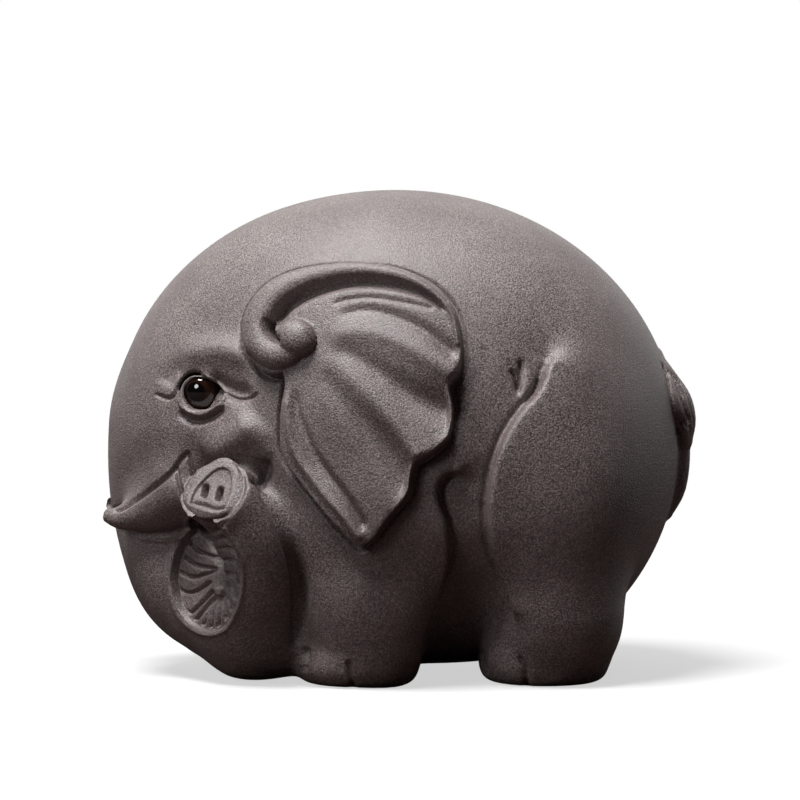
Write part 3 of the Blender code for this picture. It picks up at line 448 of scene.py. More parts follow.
class Relief:
    """Heights, in mm, that the clay is modelled up or down by. They are drawn in a side view from two metres
    off and a little above, in mm behind the front and mm above the floor. The right side takes the same
    drawing, mirrored. Side is -1 for the left flank only, 0 for both."""

    def __init__(self, points, normals):
        self.points, self.normals = points, normals
        self.side = np.sign(points[:, 1])
        self.height = np.zeros(len(points))
        self.look(0.0)

    def look(self, lift):
        """Takes the side view of the clay as it will be once raised by the lift."""
        x, y, z = (self.points + self.normals * np.reshape(lift, (-1, 1))).T
        y, z = -np.abs(y), z - VIEW_CENTRE
        slant, level = math.sin(VIEW_RISE), math.cos(VIEW_RISE)
        nearer = VIEW_DISTANCE / (VIEW_DISTANCE + y * level - z * slant)
        risen = (z * level + y * slant) * nearer + VIEW_CENTRE * level
        self.flat = np.stack([x * nearer - FRONT, risen], axis=1)

    def near(self, path, reach, side=0):
        low, high = path[:, :2].min(axis=0) - reach, path[:, :2].max(axis=0) + reach
        inside = ((self.flat > low) & (self.flat < high)).all(axis=1)
        if side:
            inside &= self.side == side
        return np.flatnonzero(inside)

    def stroke(self, points, width, height, side=0, taper=0.0):
        """A rounded ridge, or a groove where the height is below zero, of that half width."""
        path = curve_through(points)
        chosen = self.near(path, width * 3, side)
        gap, place = nearest_on(path, self.flat[chosen])
        strength = np.exp(-((gap / width) ** 2))
        if taper:
            strength *= ramp(np.minimum(place, len(path) - 1 - place) / (len(path) - 1) / taper)
        self.height[chosen] += height * strength

    def crease(self, points, width, depth, swell, fall, dip, taper=0.12):
        """A groove along the path. The clay on the right of the path, as it is drawn, swells up at once from
        the groove and eases back over the fall. On the left it dips slowly into the groove."""
        path = curve_through(points)
        chosen = self.near(path, fall * 2.5)
        flat = self.flat[chosen]
        gap, place = nearest_on(path, flat)
        index = np.minimum(place.astype(int), len(path) - 2)
        run = path[index + 1] - path[index]
        run /= np.linalg.norm(run, axis=1)[:, None]
        off = flat - path[index]
        aside = run[:, 1] * off[:, 0] - run[:, 0] * off[:, 1]
        right = 0.5 + 0.5 * np.clip(aside / np.maximum(gap, 1e-6), -1, 1)
        end = ramp(np.minimum(place, len(path) - 1 - place) / (len(path) - 1) / taper)
        self.height[chosen] -= depth * np.exp(-((gap / width) ** 2)) * end
        self.height[chosen] += ramp(gap / width) * (right * swell * np.exp(-((gap / fall) ** 2))
                                                    - (1 - right) * dip * np.exp(-((gap / (fall / 2)) ** 2)))

    def inside(self, outline, reach=2.5, side=0):
        """Indices near a closed outline, and how far each lies inside it: below zero outside."""
        chosen = self.near(outline, reach, side)
        flat = self.flat[chosen]
        gap, _ = nearest_on(outline, flat)
        turns = np.zeros(len(chosen))
        for start, end in zip(outline, outline[1:]):
            crosses = (start[1] > flat[:, 1]) != (end[1] > flat[:, 1])
            if not crosses.any():
                continue
            at = start[0] + (flat[:, 1] - start[1]) * (end[0] - start[0]) / (end[1] - start[1])
            turns += crosses & (flat[:, 0] < at)
        return chosen, np.where(turns % 2 == 1, gap, -gap)


EAR_OUTLINE = [(31.0, 53.4), (28.9, 53.0), (26.5, 54.1), (24.8, 56.8), (24.1, 59.8), (24.2, 62.8),
    (25.3, 65.5), (27.3, 68.0), (30.1, 70.0), (33.7, 71.4), (37.8, 72.1), (42.2, 72.4), (46.7, 72.1),
    (50.6, 71.4), (54.1, 70.1), (57.3, 68.5), (59.7, 66.4), (61.3, 63.7), (62.1, 60.3), (62.4, 57.1),
    (62.3, 54.6), (61.8, 53.0), (60.7, 51.8), (60.2, 50.7), (60.4, 48.9), (60.8, 46.5), (60.6, 43.8),
    (60.0, 41.8), (58.6, 40.4), (56.5, 38.8), (54.3, 37.4), (53.6, 35.8), (53.2, 34.0), (52.9, 32.2),
    (51.8, 30.3), (50.0, 28.1), (48.4, 25.8), (47.2, 23.9), (45.9, 22.8), (44.9, 22.1), (43.3, 23.3),
    (39.5, 27.1), (36.9, 30.1), (34.2, 33.5), (31.7, 36.8), (30.8, 39.3), (30.5, 42.0), (30.6, 45.6),
    (31.0, 48.6), (31.4, 51.1), (31.0, 53.4)]
# Middle line and half width of the rolled rim, from its thin end at the back to the scroll.
EAR_RIM = [(62.0, 58.0, 0.32), (61.1, 62.5, 0.39), (59.1, 65.5, 0.5), (56.5, 67.6, 0.64),
    (52.9, 69.4, 0.82), (48.4, 70.6, 1), (43.5, 71.1, 1.17), (38.6, 70.7, 1.42), (34.2, 69.6, 1.74),
    (30.3, 67.5, 2.1), (27.6, 64.4, 2.35), (26.5, 61.1, 2.46), (27.4, 57.8, 2.6), (29.9, 56.2, 2.63),
    (32.4, 57.0, 2.49), (33.7, 58.7, 2.31)]
SCROLL = (33.7, 59.1)
SCROLL_RADIUS = 3.4
SCROLL_GROOVE = [(28.9, 62.5), (28.9, 60.5), (29.8, 59.3), (30.6, 58.7), (31.9, 58.4)]
SCROLL_LIFT = 0.4
SCROLL_ROUNDNESS = 0.9
RIM_LIFT = 0.2
RIM_ROUNDNESS = 0.85
# How far out the rolled rim blends into the ear, and over how much, in half widths of the rim.
RIM_REACH = 1.2
RIM_FADE = 0.35
# How far the ear stands out, how wide its edge slopes and how deep the moat round it is, each as the value in
# front and what is added from a start over a length.
EAR_LIFT = 2.0
EAR_STAND = (EAR_LIFT, 1.5, 34, 24)
EAR_SLOPE = (0.5, 0.6, 44, 10)
MOAT_DEPTH = (1.5, -0.8, 30, 16)
MOAT_OFF = 0.35
MOAT_WIDTH = 0.5
# Folds begin this far outside the ear and fade in over this share of their length.
FOLD_MARGIN = 0.3
FOLD_START = 0.12
# Folds of the ear as (path, half width at the start and end, height at the start and end).
EAR_FOLDS = [
    ([(29.4, 60.7), (29.8, 62.5), (31.0, 64.4), (33.0, 66.0), (36.0, 67.5), (40.4, 68.7), (44.9, 69.1),
      (50.2, 68.4), (55.6, 66.9), (59.3, 64.6)], (1.1, 0.7), (-2.4, -0.9)),
    ([(39.5, 65.0), (42.2, 65.9), (46.7, 66.2), (52.0, 65.3), (57.3, 64.1)], (0.5, 0.5), (-0.4, -0.3)),
    ([(40.4, 63.0), (44.9, 64.1), (48.4, 63.7), (52.0, 62.5), (56.5, 60.2), (60.9, 56.8)], (0.8, 1.2),
      (-0.4, -0.9)),
    ([(37.8, 59.3), (43.1, 60.3), (48.4, 59.5), (53.8, 57.1), (60.4, 53.2)], (1.6, 1.9), (0.3, 0.9)),
    ([(39.5, 57.8), (44.0, 55.9), (49.3, 52.5), (54.7, 48.8), (60.7, 46.1)], (1.2, 3.2), (-0.3, -2.1)),
    ([(36.9, 56.8), (41.3, 53.2), (46.7, 48.6), (51.1, 43.8), (54.5, 39.0)], (1.8, 1.7), (0.1, 1.0)),
    ([(37.4, 53.9), (41.3, 49.1), (44.9, 44.7), (49.3, 39.7), (52.7, 34.0)], (1.6, 2.8), (-0.2, -1.4)),
    ([(31.9, 50.4), (31.9, 46.1), (32.4, 41.8), (33.7, 38.1), (36.2, 34.5), (39.0, 31.0), (42.4, 27.1),
      (44.5, 24.2)], (0.8, 0.9), (0.6, 0.8)),
    ([(33.0, 50.9), (33.5, 46.8), (34.7, 42.9), (37.4, 37.4), (42.2, 31.0), (45.2, 26.3)], (0.7, 0.9),
      (-0.5, -1.0)),
]


def model_ear(relief):
    """The flap with its folds, the moat round it, the rolled rim and the scroll."""
    relief.look(EAR_LIFT)
    chosen, inside = relief.inside(curve_through(EAR_OUTLINE), reach=4.0)
    flat = relief.flat[chosen]
    body = eased(flat[:, 0], *EAR_STAND)
    folds = np.zeros(len(chosen))
    for points, widths, heights in EAR_FOLDS:
        path = curve_through(points)
        gap, place = nearest_on(path, flat)
        share = place / (len(path) - 1)
        width = widths[0] + (widths[1] - widths[0]) * share
        height = (heights[0] + (heights[1] - heights[0]) * share) * ramp(share / FOLD_START)
        folds += height * np.exp(-((gap / width) ** 2))
    slope = eased(flat[:, 0], *EAR_SLOPE)
    height = (body + folds * ramp(inside + FOLD_MARGIN)) * ramp((inside + slope) / slope)
    moat = eased(flat[:, 0], *MOAT_DEPTH)
    height -= moat * np.exp(-(((inside + slope + MOAT_OFF) / MOAT_WIDTH) ** 2))
    rim = curve_through(EAR_RIM)
    gap, place = nearest_on(rim[:, :2], flat)
    radius = np.interp(place, np.arange(len(rim)), rim[:, 2])
    across = gap / radius
    round_top = np.sqrt(np.clip(1 - across**2, 0, 1))
    roll = body * ramp((RIM_REACH - across) / RIM_FADE) + (RIM_LIFT + RIM_ROUNDNESS * radius) * round_top
    height = np.where(across < RIM_REACH, np.maximum(height, roll), height)
    across = np.linalg.norm(flat - SCROLL, axis=1) / SCROLL_RADIUS
    round_top = np.sqrt(np.clip(1 - across**2, 0, 1))
    knob = body + SCROLL_LIFT + SCROLL_ROUNDNESS * SCROLL_RADIUS * round_top
    height = np.where(across < 1, np.maximum(height, knob), height)
    relief.height[chosen] += height
    relief.stroke(SCROLL_GROOVE, 0.45, -2.6, taper=0.1)
    relief.look(0.0)


EYE_OPENING_DEPTH = 2.0
EYE_RIM_HEIGHT = 0.45
EYE_OPENING = [(13.6, 48.6), (13.6, 50.0), (14.1, 51.3), (14.8, 52.0), (15.9, 52.3), (17.1, 52.1),
    (18.2, 51.4), (19.2, 50.4), (20.1, 49.1), (20.1, 48.4), (19.2, 47.4), (17.8, 46.7), (16.4, 46.5),
    (15.0, 46.6), (14.1, 47.3), (13.6, 48.6)]
UPPER_LID = [(7.9, 49.3), (9.3, 48.9), (10.7, 48.5), (11.6, 49.1), (12.2, 50.2), (12.8, 51.4),
    (13.9, 52.5), (15.2, 53.0), (16.4, 52.7), (17.6, 52.0), (18.9, 50.8), (20.1, 49.6), (21.4, 48.8),
    (22.8, 48.3), (24.4, 48.4), (25.8, 48.9), (26.9, 49.7)]
# Lines of the relief as (points, half width, height, share of the length that tapers).
EYE_LINES = [
    ([(12.1, 54.6), (16.0, 56.6), (20.3, 57.1), (23.9, 55.9), (27.1, 53.9)], 2.5, 1.4, 0.3),
    ([(17.5, 52.3), (20.3, 50.7), (23.2, 49.5), (26.0, 50.0)], 1.5, -1.3, 0.2),
    ([(9.8, 50.4), (11.2, 52.9), (13.6, 54.5)], 1.6, -0.6, 0.3),
    (UPPER_LID, 0.34, -0.75, 0.06),
    ([(11.8, 49.5), (12.4, 50.7), (13.6, 52.1), (15.2, 52.9), (16.8, 52.7)], 0.42, -0.7, 0.2),
    ([(12.7, 48.9), (13.0, 47.3), (14.1, 46.2), (15.7, 45.6), (17.5, 45.7), (19.2, 46.5),
      (20.9, 47.9)], 0.36, 0.6, 0.1),
    ([(12.5, 46.5), (13.7, 45.1), (15.2, 44.4), (16.6, 44.5), (18.0, 44.9), (19.4, 45.8),
      (20.9, 47.2)], 0.65, -1.0, 0.15),
]


def model_eye(relief):
    """The brow, the hollows under it, the lids, and the opening in which the bead shows."""
    for points, width, height, taper in EYE_LINES:
        relief.stroke(points, width, height, taper=taper)
    chosen, inside = relief.inside(curve_through(EYE_OPENING), reach=2.0)
    relief.height[chosen] -= EYE_OPENING_DEPTH * ramp((inside + 0.1) / 0.3)
    relief.height[chosen] += EYE_RIM_HEIGHT * np.exp(-(((inside + 0.4) / 0.3) ** 2))


FACE_LINES = [
    ([(16.9, 37.0), (20.0, 39.5), (23.7, 42.4), (27.4, 45.7)], 3.2, 1.8, 0.3),
    ([(28.9, 39.3), (28.0, 36.8), (27.8, 34.0), (29.2, 30.8), (30.8, 27.2), (32.1, 23.3), (33.3, 19.4),
        (34.0, 15.3), (34.0, 10.9), (33.5, 6.4), (32.4, 2.8)], 1.1, -2.2, 0.15),
    ([(27.8, 37.9), (26.7, 35.8), (27.1, 32.9)], 1.6, -1.2, 0.3),
    ([(0.6, 28.5), (2.2, 28.8), (3.9, 29.8), (5.7, 31.0), (7.5, 32.3), (9.3, 33.7), (11.1, 35.2),
        (12.1, 36.5), (13.0, 37.7), (14.1, 38.8)], 0.4, -0.8, 0.06),
    ([(12.1, 36.0), (12.5, 33.8), (13.2, 31.5)], 0.35, -0.6, 0.0),
    ([(14.1, 38.8), (14.7, 36.5), (15.5, 34.0)], 0.35, -0.7, 0.0),
    ([(5.0, 24.0), (7.5, 23.3), (10.3, 23.1), (13.2, 23.5), (16.0, 24.6)], 0.35, 0.4, 0.2),
]


def model_face(relief):
    """The cheek, the long groove behind the jaw and the pocket at its top, the line above each tusk, the two
    cuts of its gum, and the fold of the lower jaw."""
    for points, width, height, taper in FACE_LINES:
        relief.stroke(points, width, height, taper=taper)


RECESS_DEPTH = 1.8
# The share of the depth at the foot of the recess, and what is added from a start over a length upwards.
RECESS_SHARE = (0.45, 0.55, 8, 7)
RECESS_RIM_HEIGHT = 0.3
RECESS = [(14.6, 25.1), (13.4, 23.7), (12.3, 22.1), (11.5, 19.8), (11.0, 16.9), (11.3, 14.1),
    (12.3, 11.2), (13.9, 8.9), (16.2, 7.3), (18.5, 6.9), (20.7, 7.8), (22.2, 10.3), (23.2, 13.2),
    (23.5, 16.2), (23.3, 19.2), (22.3, 21.9), (20.9, 24.2), (19.2, 26.0), (17.5, 27.2), (15.5, 27.6),
    (14.4, 26.7), (14.6, 25.1)]
SLIT = [(15.3, 26.9), (16.9, 24.9), (18.4, 22.8), (19.2, 20.5), (19.7, 18.0), (19.7, 14.4)]
# Grooves between the ribs on the two inner sides of the curled trunk.
RIB_GROOVES = [
    [(14.4, 22.8), (15.9, 21.4), (19.1, 20.1)],
    [(13.2, 20.5), (15.5, 18.9), (18.7, 18.2)],
    [(12.5, 17.8), (14.6, 16.7), (16.4, 16.9), (18.7, 17.8)],
    [(12.5, 14.6), (13.9, 13.9), (15.7, 14.2), (18.0, 15.8)],
    [(13.4, 11.0), (14.6, 10.3), (16.0, 11.6), (18.4, 14.1)],
    [(15.3, 8.7), (16.6, 10.5), (18.0, 12.5), (18.7, 13.5)],
    [(16.8, 7.8), (17.6, 11.0), (18.9, 13.2)],
    [(18.2, 7.7), (18.5, 10.5), (19.2, 13.0)],
    [(19.6, 8.0), (19.6, 10.5), (19.6, 13.0)],
    [(20.9, 9.3), (20.5, 11.2), (20.0, 13.2)],
    [(21.9, 10.9), (21.4, 12.3), (20.3, 13.7)],
    [(22.6, 13.0), (21.9, 14.6), (20.9, 15.5), (20.0, 15.5)],
    [(23.2, 15.5), (22.3, 16.9), (21.0, 17.4), (20.0, 16.9)],
    [(23.3, 18.0), (22.3, 19.4), (21.0, 19.8), (19.8, 19.0)],
    [(22.8, 20.5), (21.6, 21.7), (20.3, 21.9), (19.2, 21.0)],
    [(21.7, 22.8), (20.3, 23.7), (19.2, 23.7), (18.2, 22.8)],
    [(20.1, 25.1), (18.5, 25.5), (16.9, 24.9)],
]


def model_trunk_curl(relief):
    """The sunk floor in the open curl, with its rim. Slit and grooves are drawn on the carved floor."""
    chosen, inside = relief.inside(curve_through(RECESS), side=-1)
    depth = RECESS_DEPTH * eased(relief.flat[chosen, 1], *RECESS_SHARE)
    relief.height[chosen] -= depth * ramp((inside + 0.05) / 0.35)
    relief.height[chosen] += RECESS_RIM_HEIGHT * np.exp(-(((inside + 0.55) / 0.4) ** 2))
    sunk = np.zeros(len(relief.height))
    sunk[chosen] = ramp((inside - 0.35) / 0.3)
    before = relief.height.copy()
    relief.look(relief.height)
    relief.stroke(SLIT, 0.45, -1.6, side=-1, taper=0.04)
    for groove in RIB_GROOVES:
        relief.stroke(groove, 0.3, -0.75, side=-1)
    relief.height = before + (relief.height - before) * sunk
    relief.look(0.0)


TRUNK_END = [(13.4, 30.8), (13.9, 32.4), (14.8, 34.0), (16.0, 35.6), (17.6, 36.8), (19.4, 37.6),
    (21.2, 37.7), (22.3, 37.4), (22.8, 36.1), (22.8, 34.4), (22.3, 32.2), (21.6, 30.3), (20.7, 28.8),
    (19.2, 28.1), (17.5, 28.3), (15.5, 29.0), (14.1, 29.7), (13.4, 30.8)]
NOSTRIL_PLATE = [(14.6, 30.1), (15.0, 31.5), (16.0, 33.1), (17.5, 34.7), (18.9, 35.8), (20.3, 36.3),
    (21.4, 35.8), (21.9, 34.2), (21.7, 32.0), (21.2, 30.3), (20.3, 29.0), (18.9, 28.8), (17.5, 29.4),
    (16.0, 29.7), (14.6, 30.1)]
LIP_LINE = [(14.8, 29.9), (16.0, 29.9), (17.5, 29.5), (18.9, 29.0), (20.3, 29.2)]
NOSTRILS = [[(17.1, 33.0), (16.8, 31.7)], [(19.7, 32.5), (19.3, 31.1)]]
PLATE_DEPTH = 0.5
# The slope and width of the bevel round the plate.
END_BEVEL = 0.9
END_BEVEL_WIDTH = 2.5
# The trunk's end has this relief within a reach of its middle and where the clay faces its way.
END_REACH = 8.5
END_REACH_FADE = 1.5
LEAST_FACING = 0.2
FACING_FADE = 0.5


def model_trunk_tip(relief):
    """Rim, nostrils and lip line on the plate that closes the trunk, and only there."""
    tip, facing = trunk_tip()
    before = relief.height.copy()
    chosen, inside = relief.inside(curve_through(NOSTRIL_PLATE), side=-1)
    relief.height[chosen] -= PLATE_DEPTH * ramp((inside + 0.1) / 0.3)
    chosen, inside = relief.inside(curve_through(TRUNK_END), side=-1)
    relief.height[chosen] -= END_BEVEL * np.clip(-inside, 0, END_BEVEL_WIDTH)
    relief.stroke(LIP_LINE, 0.35, -0.6, side=-1)
    for nostril in NOSTRILS:
        relief.stroke(nostril, 0.42, -1.8, side=-1)
    on_plate = ramp((END_REACH - np.linalg.norm(relief.points - tip, axis=1)) / END_REACH_FADE)
    on_plate *= ramp((relief.normals @ facing - LEAST_FACING) / FACING_FADE)
    relief.height = before * (1 - on_plate) + (relief.height - before) * on_plate


def model_legs(relief):
    """The crease in front of each thigh with the skin folds at its top, the crease behind each foreleg, and
    the lines between the toes."""
    relief.crease([(78.7, 55.2), (77.1, 53.6), (76.6, 51.4), (75.7, 49.7), (74.4, 48.1), (73.2, 46.6),
        (71.8, 44.7), (70.5, 42.5), (69.3, 39.9), (68.4, 37.2), (67.7, 34.4), (67.3, 31.3), (67.1, 28.3),
        (67.3, 25.1), (67.8, 21.9), (68.9, 18.9), (70.0, 16.2), (71.2, 13.5),
        (72.3, 10.9)][::-1], 0.7, 1.0, 1.7, 9.0, 0.5)
    relief.stroke([(71.4, 53.8), (72.3, 52.9), (72.7, 51.3), (73.0, 49.5)], 0.4, -0.9, taper=0.2)
    relief.stroke([(73.4, 55.9), (73.6, 53.9), (73.5, 51.8), (72.8, 48.6)], 0.5, -1.0, taper=0.2)
    relief.crease([(62.1, 35.2), (60.9, 34.9), (59.8, 34.2), (59.1, 32.8), (59.1, 30.8), (59.7, 28.7),
        (60.4, 26.7), (60.9, 24.4), (61.1, 21.9), (60.9, 19.8), (60.2, 17.1), (59.1, 14.4), (57.9, 11.7),
        (56.6, 8.7), (55.7, 5.5), (55.0, 2.7)], 0.7, 1.2, 1.6, 8.0, 0.4, taper=0.06)
    relief.stroke([(77.8, 55.2), (77.4, 53.2), (76.7, 51.1), (75.5, 48.9),
        (74.1, 47.3)], 0.5, -1.2, taper=0.15)
    relief.stroke([(35.4, 4.5), (35.2, 2.3), (34.7, -0.5)], 0.5, -0.9, taper=0.2)
    relief.stroke([(42.9, 1.2), (43.1, -0.5), (43.5, -2.7)], 0.5, -0.8)
    relief.stroke([(66.4, 4.1), (66.6, 2.0), (67.3, -0.9)], 0.5, -0.9, taper=0.2)
    relief.stroke([(73.4, 2.0), (74.1, 0.4), (74.4, -2.3)], 0.5, -0.9)


# The tail's lines are kept behind this place and this near to the middle plane.
TAIL_PLACE = 96.0
TAIL_SIDE = 8.0
TAIL_LINES = [
    [(97.2, 55.5), (99.3, 53.6), (101.8, 50.7), (103.6, 43.6)],
    [(97.6, 54.3), (99.3, 52.0), (101.1, 48.9), (103.1, 42.9)],
    [(97.9, 52.9), (99.2, 50.6), (100.4, 47.5), (102.4, 42.4)],
    [(98.1, 51.3), (98.8, 48.9), (99.7, 46.1), (101.5, 41.8)],
]


def model_tail(relief):
    """Sharpens the pleats of the tail where they show from the side."""
    before = relief.height.copy()
    for line in TAIL_LINES:
        relief.stroke(line, 0.32, -0.8, taper=0.1)
    on_tail = (np.abs(relief.points[:, 1]) < TAIL_SIDE) & (relief.points[:, 0] > FRONT + TAIL_PLACE)
    relief.height = np.where(on_tail, relief.height, before)


# A drawing in side view fades out where the clay faces less than this share to the side.
SIDE_FACING = 0.35


def model_relief(mesh):
    """Works the legs, face, eyes, trunk, ears and tail into the smooth clay."""
    points, normals = read_points(mesh), read_normals(mesh)
    relief = Relief(points, normals)
    model_legs(relief)
    model_face(relief)
    model_eye(relief)
    model_trunk_curl(relief)
    model_ear(relief)
    model_tail(relief)
    relief.height *= ramp(np.abs(normals[:, 1]) / SIDE_FACING)
    model_trunk_tip(relief)
    write_points(mesh, points + normals * relief.height[:, None])


def make_clay(voxel):
    """The whole of the clay, still solid, with its relief worked in."""
    pieces = [piece for lump in [Body(), *masses()] for piece in lump.block()]
    for piece in pieces:
        stand_on_floor(piece)
    clay = press_together(pieces, "body", voxel)
    settle(clay.data, clay_field, SETTLE_STEPS)
    reskin(clay, voxel)
    relax(clay)
    settle(clay.data, clay_field, 2)
    subdivide(clay)
    refine(clay, carved_places)
    refine(clay, finest_places)
    settle(clay.data, clay_field, 1)
    model_relief(clay.data)
    return clay


def eye_centre():
    """Centre of the left eye, as deep in the clay as leaves the bead standing proud of the flank."""
    depths = np.linspace(-HALF_WIDTH - 4, -HALF_WIDTH / 4, EYE_SEARCH)
    line = np.stack([np.full(EYE_SEARCH, FRONT + EYE_BACK), depths, np.full(EYE_SEARCH, EYE_HEIGHT)], axis=1)
    field = clay_field(line)
    skin = line[np.argmax(field < 0)]
    probes = clay_field(np.vstack([skin, skin + np.eye(3) * EYE_PROBE]))
    slope = np.linalg.norm(probes[1:] - probes[0]) / EYE_PROBE
    return line[np.argmax(field < (EYE_PROUD - EYE_DIAMETER / 2) * slope)]


def thin_out(obj, triangles):
    """Thins the mesh to about that many triangles, keeping most where it bends most."""
    count = sum(len(face.vertices) - 2 for face in obj.data.polygons)
    apply_modifier(obj, "thin out", "DECIMATE", ratio=triangles / count)


def stand_on_floor(obj):
    """Brings every point that lies under the floor up to it."""
    points = read_points(obj.data)
    points[:, 2] = np.maximum(points[:, 2], 0)
    write_points(obj.data, points)


def make_cutters():
    """The hollow, its vent and the two eye sockets, in place to be taken from the clay."""
    hollow = new_ball(HOLLOW_CENTRE, HOLLOW_RADII, HOLLOW_SEGMENTS)
    points = read_points(hollow.data)
    points[:, 2] = np.maximum(points[:, 2], BELLY_HEIGHT + FLOOR_THICKNESS)
    write_points(hollow.data, points)
    bpy.ops.mesh.primitive_cylinder_add(
        vertices=VENT_SEGMENTS, radius=VENT_DIAMETER / 2 * MM, depth=4 * FLOOR_THICKNESS * MM,
        location=(VENT_X * MM, 0, FLOOR_THICKNESS * MM))
    vent = bpy.context.object
    bpy.ops.object.transform_apply(location=True, rotation=False, scale=False)
    cutters = {"hollow": hollow, "vent": vent}
    for name, side in SIDES:
        radii = np.full(3, EYE_DIAMETER / 2 + EYE_GAP)
        cutters[name + " socket"] = new_ball(eye_centre() * [1, side, 1], radii, EYE_SEGMENTS)
    return cutters


def srgb(code):
    """A colour written as sRGB hex, as the linear RGBA that a shader takes."""
    shares = [int(code[i:i + 2], 16) / 255 for i in (1, 3, 5)]
    return (*(s / 12.92 if s <= 0.04045 else ((s + 0.055) / 1.055) ** 2.4 for s in shares), 1.0)


def add(tree, kind, settings=None, **links):
    """Adds a node. Settings are its own values or, by name, those of its inputs. Links name the inputs that
    take another node's output or a constant, or number them as i0, i1 and so on where names are shared."""
    node = tree.nodes.new("ShaderNode" + kind)
    for name, value in (settings or {}).items():
        if name in node.inputs and not hasattr(type(node), name):
            node.inputs[name].default_value = value
        else:
            setattr(node, name, value)
    for name, source in links.items():
        numbered = name[0] == "i" and name[1:].isdigit()
        socket = node.inputs[int(name[1:]) if numbered else name.replace("_", " ")]
        if isinstance(source, bpy.types.NodeSocket):
            tree.links.new(source, socket)
        else:
            socket.default_value = source
    return node


def ramp_of(tree, source, stops):
    """A colour ramp over the source. Its stops are (place, colour in hex or strength of grey)."""
    node = add(tree, "ValToRGB", Fac=source)
    ends = node.color_ramp.elements
    while len(ends) < len(stops):
        ends.new(0.5)
    for end, (place, colour) in zip(ends, stops):
        end.position = place
        end.color = srgb(colour) if isinstance(colour, str) else (colour, colour, colour, 1.0)
    return node.outputs["Color"]


def new_material(name, **settings):
    """A material with one Principled shader, whose constant inputs are given by name."""
    material = bpy.data.materials.new(name)
    material.use_nodes = True
    shader = material.node_tree.nodes["Principled BSDF"]
    for socket, value in settings.items():
        shader.inputs[socket.replace("_", " ")].default_value = value
    return material, material.node_tree, shader


# The clay's patterns, with sizes in mm and stops for their ramps. The specks multiply its colour.
CLAY_SHADES = [(0.35, "#5e5250"), (0.65, "#6e6361")]
CLOUD_SIZE = 14.0
SPECKS = [(0.38, 0.4), (0.5, 0.9), (0.62, 1.8)]
SAND_SIZE = 0.30
GRAIN_HEIGHT = 0.15
GRIT_COLOUR = "#a09894"
GRIT_SPACING = 0.9
GRIT_DOTS = [(0.06, 1.0), (0.16, 0.0)]
SCUFF_COLOUR = "#9a908b"
SCUFF_SIZE = 2.6
SCUFF_HEIGHT = 5.5
SCUFF_PATCHES = [(0.5, 0.0), (0.66, 0.7)]
CLAY_ROUGHNESS = [(0.42, 0.38), (0.58, 0.62)]
CLAY_IOR = 1.8
# Fine patterns keep this much from each octave to the next.
OCTAVE_SHARE = 0.7


def fired_clay():
    """Unglazed purple-brown stoneware, pressed, burnished by hand and steeped in tea. Fine sand shows as
    paler and darker specks, and the rubbed skin throws a broad, dull shine."""
    material, tree, shader = new_material("burnished unglazed stoneware", Metallic=0.0, IOR=CLAY_IOR)
    place = add(tree, "TexCoord").outputs["Object"]
    cloud = add(tree, "TexNoise", {"Scale": 1 / (CLOUD_SIZE * MM), "Detail": 3.0}, Vector=place)
    sand = add(tree, "TexNoise",
               {"Scale": 1 / (SAND_SIZE * MM), "Detail": 2.0, "Roughness": OCTAVE_SHARE}, Vector=place)
    sand = sand.outputs["Fac"]
    grit = add(tree, "TexVoronoi", {"Scale": 1 / (GRIT_SPACING * MM)}, Vector=place)
    ground = ramp_of(tree, cloud.outputs["Fac"], CLAY_SHADES)
    speck = ramp_of(tree, sand, SPECKS)
    colour = add(tree, "Mix", {"data_type": "RGBA", "blend_type": "MULTIPLY", "Factor": 1.0},
                 i6=ground, i7=speck)
    dot = ramp_of(tree, grit.outputs["Distance"], GRIT_DOTS)
    colour = add(tree, "Mix", {"data_type": "RGBA"}, i0=dot, i6=colour.outputs[2], i7=srgb(GRIT_COLOUR))
    # Near the soles the skin is scuffed paler in patches, most of all at the floor.
    height = add(tree, "SeparateXYZ", Vector=place).outputs["Z"]
    low = add(tree, "MapRange",
              {"From Min": 0.0, "From Max": SCUFF_HEIGHT * MM, "To Min": 1.0, "To Max": 0.0}, Value=height)
    patches = add(tree, "TexNoise",
                  {"Scale": 1 / (SCUFF_SIZE * MM), "Detail": 6.0, "Roughness": OCTAVE_SHARE}, Vector=place)
    worn = ramp_of(tree, patches.outputs["Fac"], SCUFF_PATCHES)
    worn = add(tree, "Math", {"operation": "MULTIPLY"}, i0=low.outputs[0], i1=worn)
    colour = add(tree, "Mix", {"data_type": "RGBA"}, i0=worn.outputs[0], i6=colour.outputs[2],
                 i7=srgb(SCUFF_COLOUR))
    tree.links.new(colour.outputs[2], shader.inputs["Base Color"])
    rough = ramp_of(tree, sand, CLAY_ROUGHNESS)
    tree.links.new(rough, shader.inputs["Roughness"])
    bump = add(tree, "Bump", {"Strength": 1.0, "Distance": GRAIN_HEIGHT * MM}, Height=sand)
    tree.links.new(bump.outputs["Normal"], shader.inputs["Normal"])
    return material


# The gaze of each eye, the half angles of its pupil and iris, and how soft the pupil's edge is.
GAZE_FORWARD = math.radians(22)
PUPIL_ANGLE = math.radians(27)
IRIS_ANGLE = math.radians(62)
PUPIL_EDGE = (0.02, 0.03)
PUPIL_COLOUR = "#050404"
IRIS_INNER = "#21120d"
IRIS_MIDDLE = "#321c14"
IRIS_OUTER = "#120b09"
GLASS_IOR = 1.52
GLASS_ROUGHNESS = 0.04


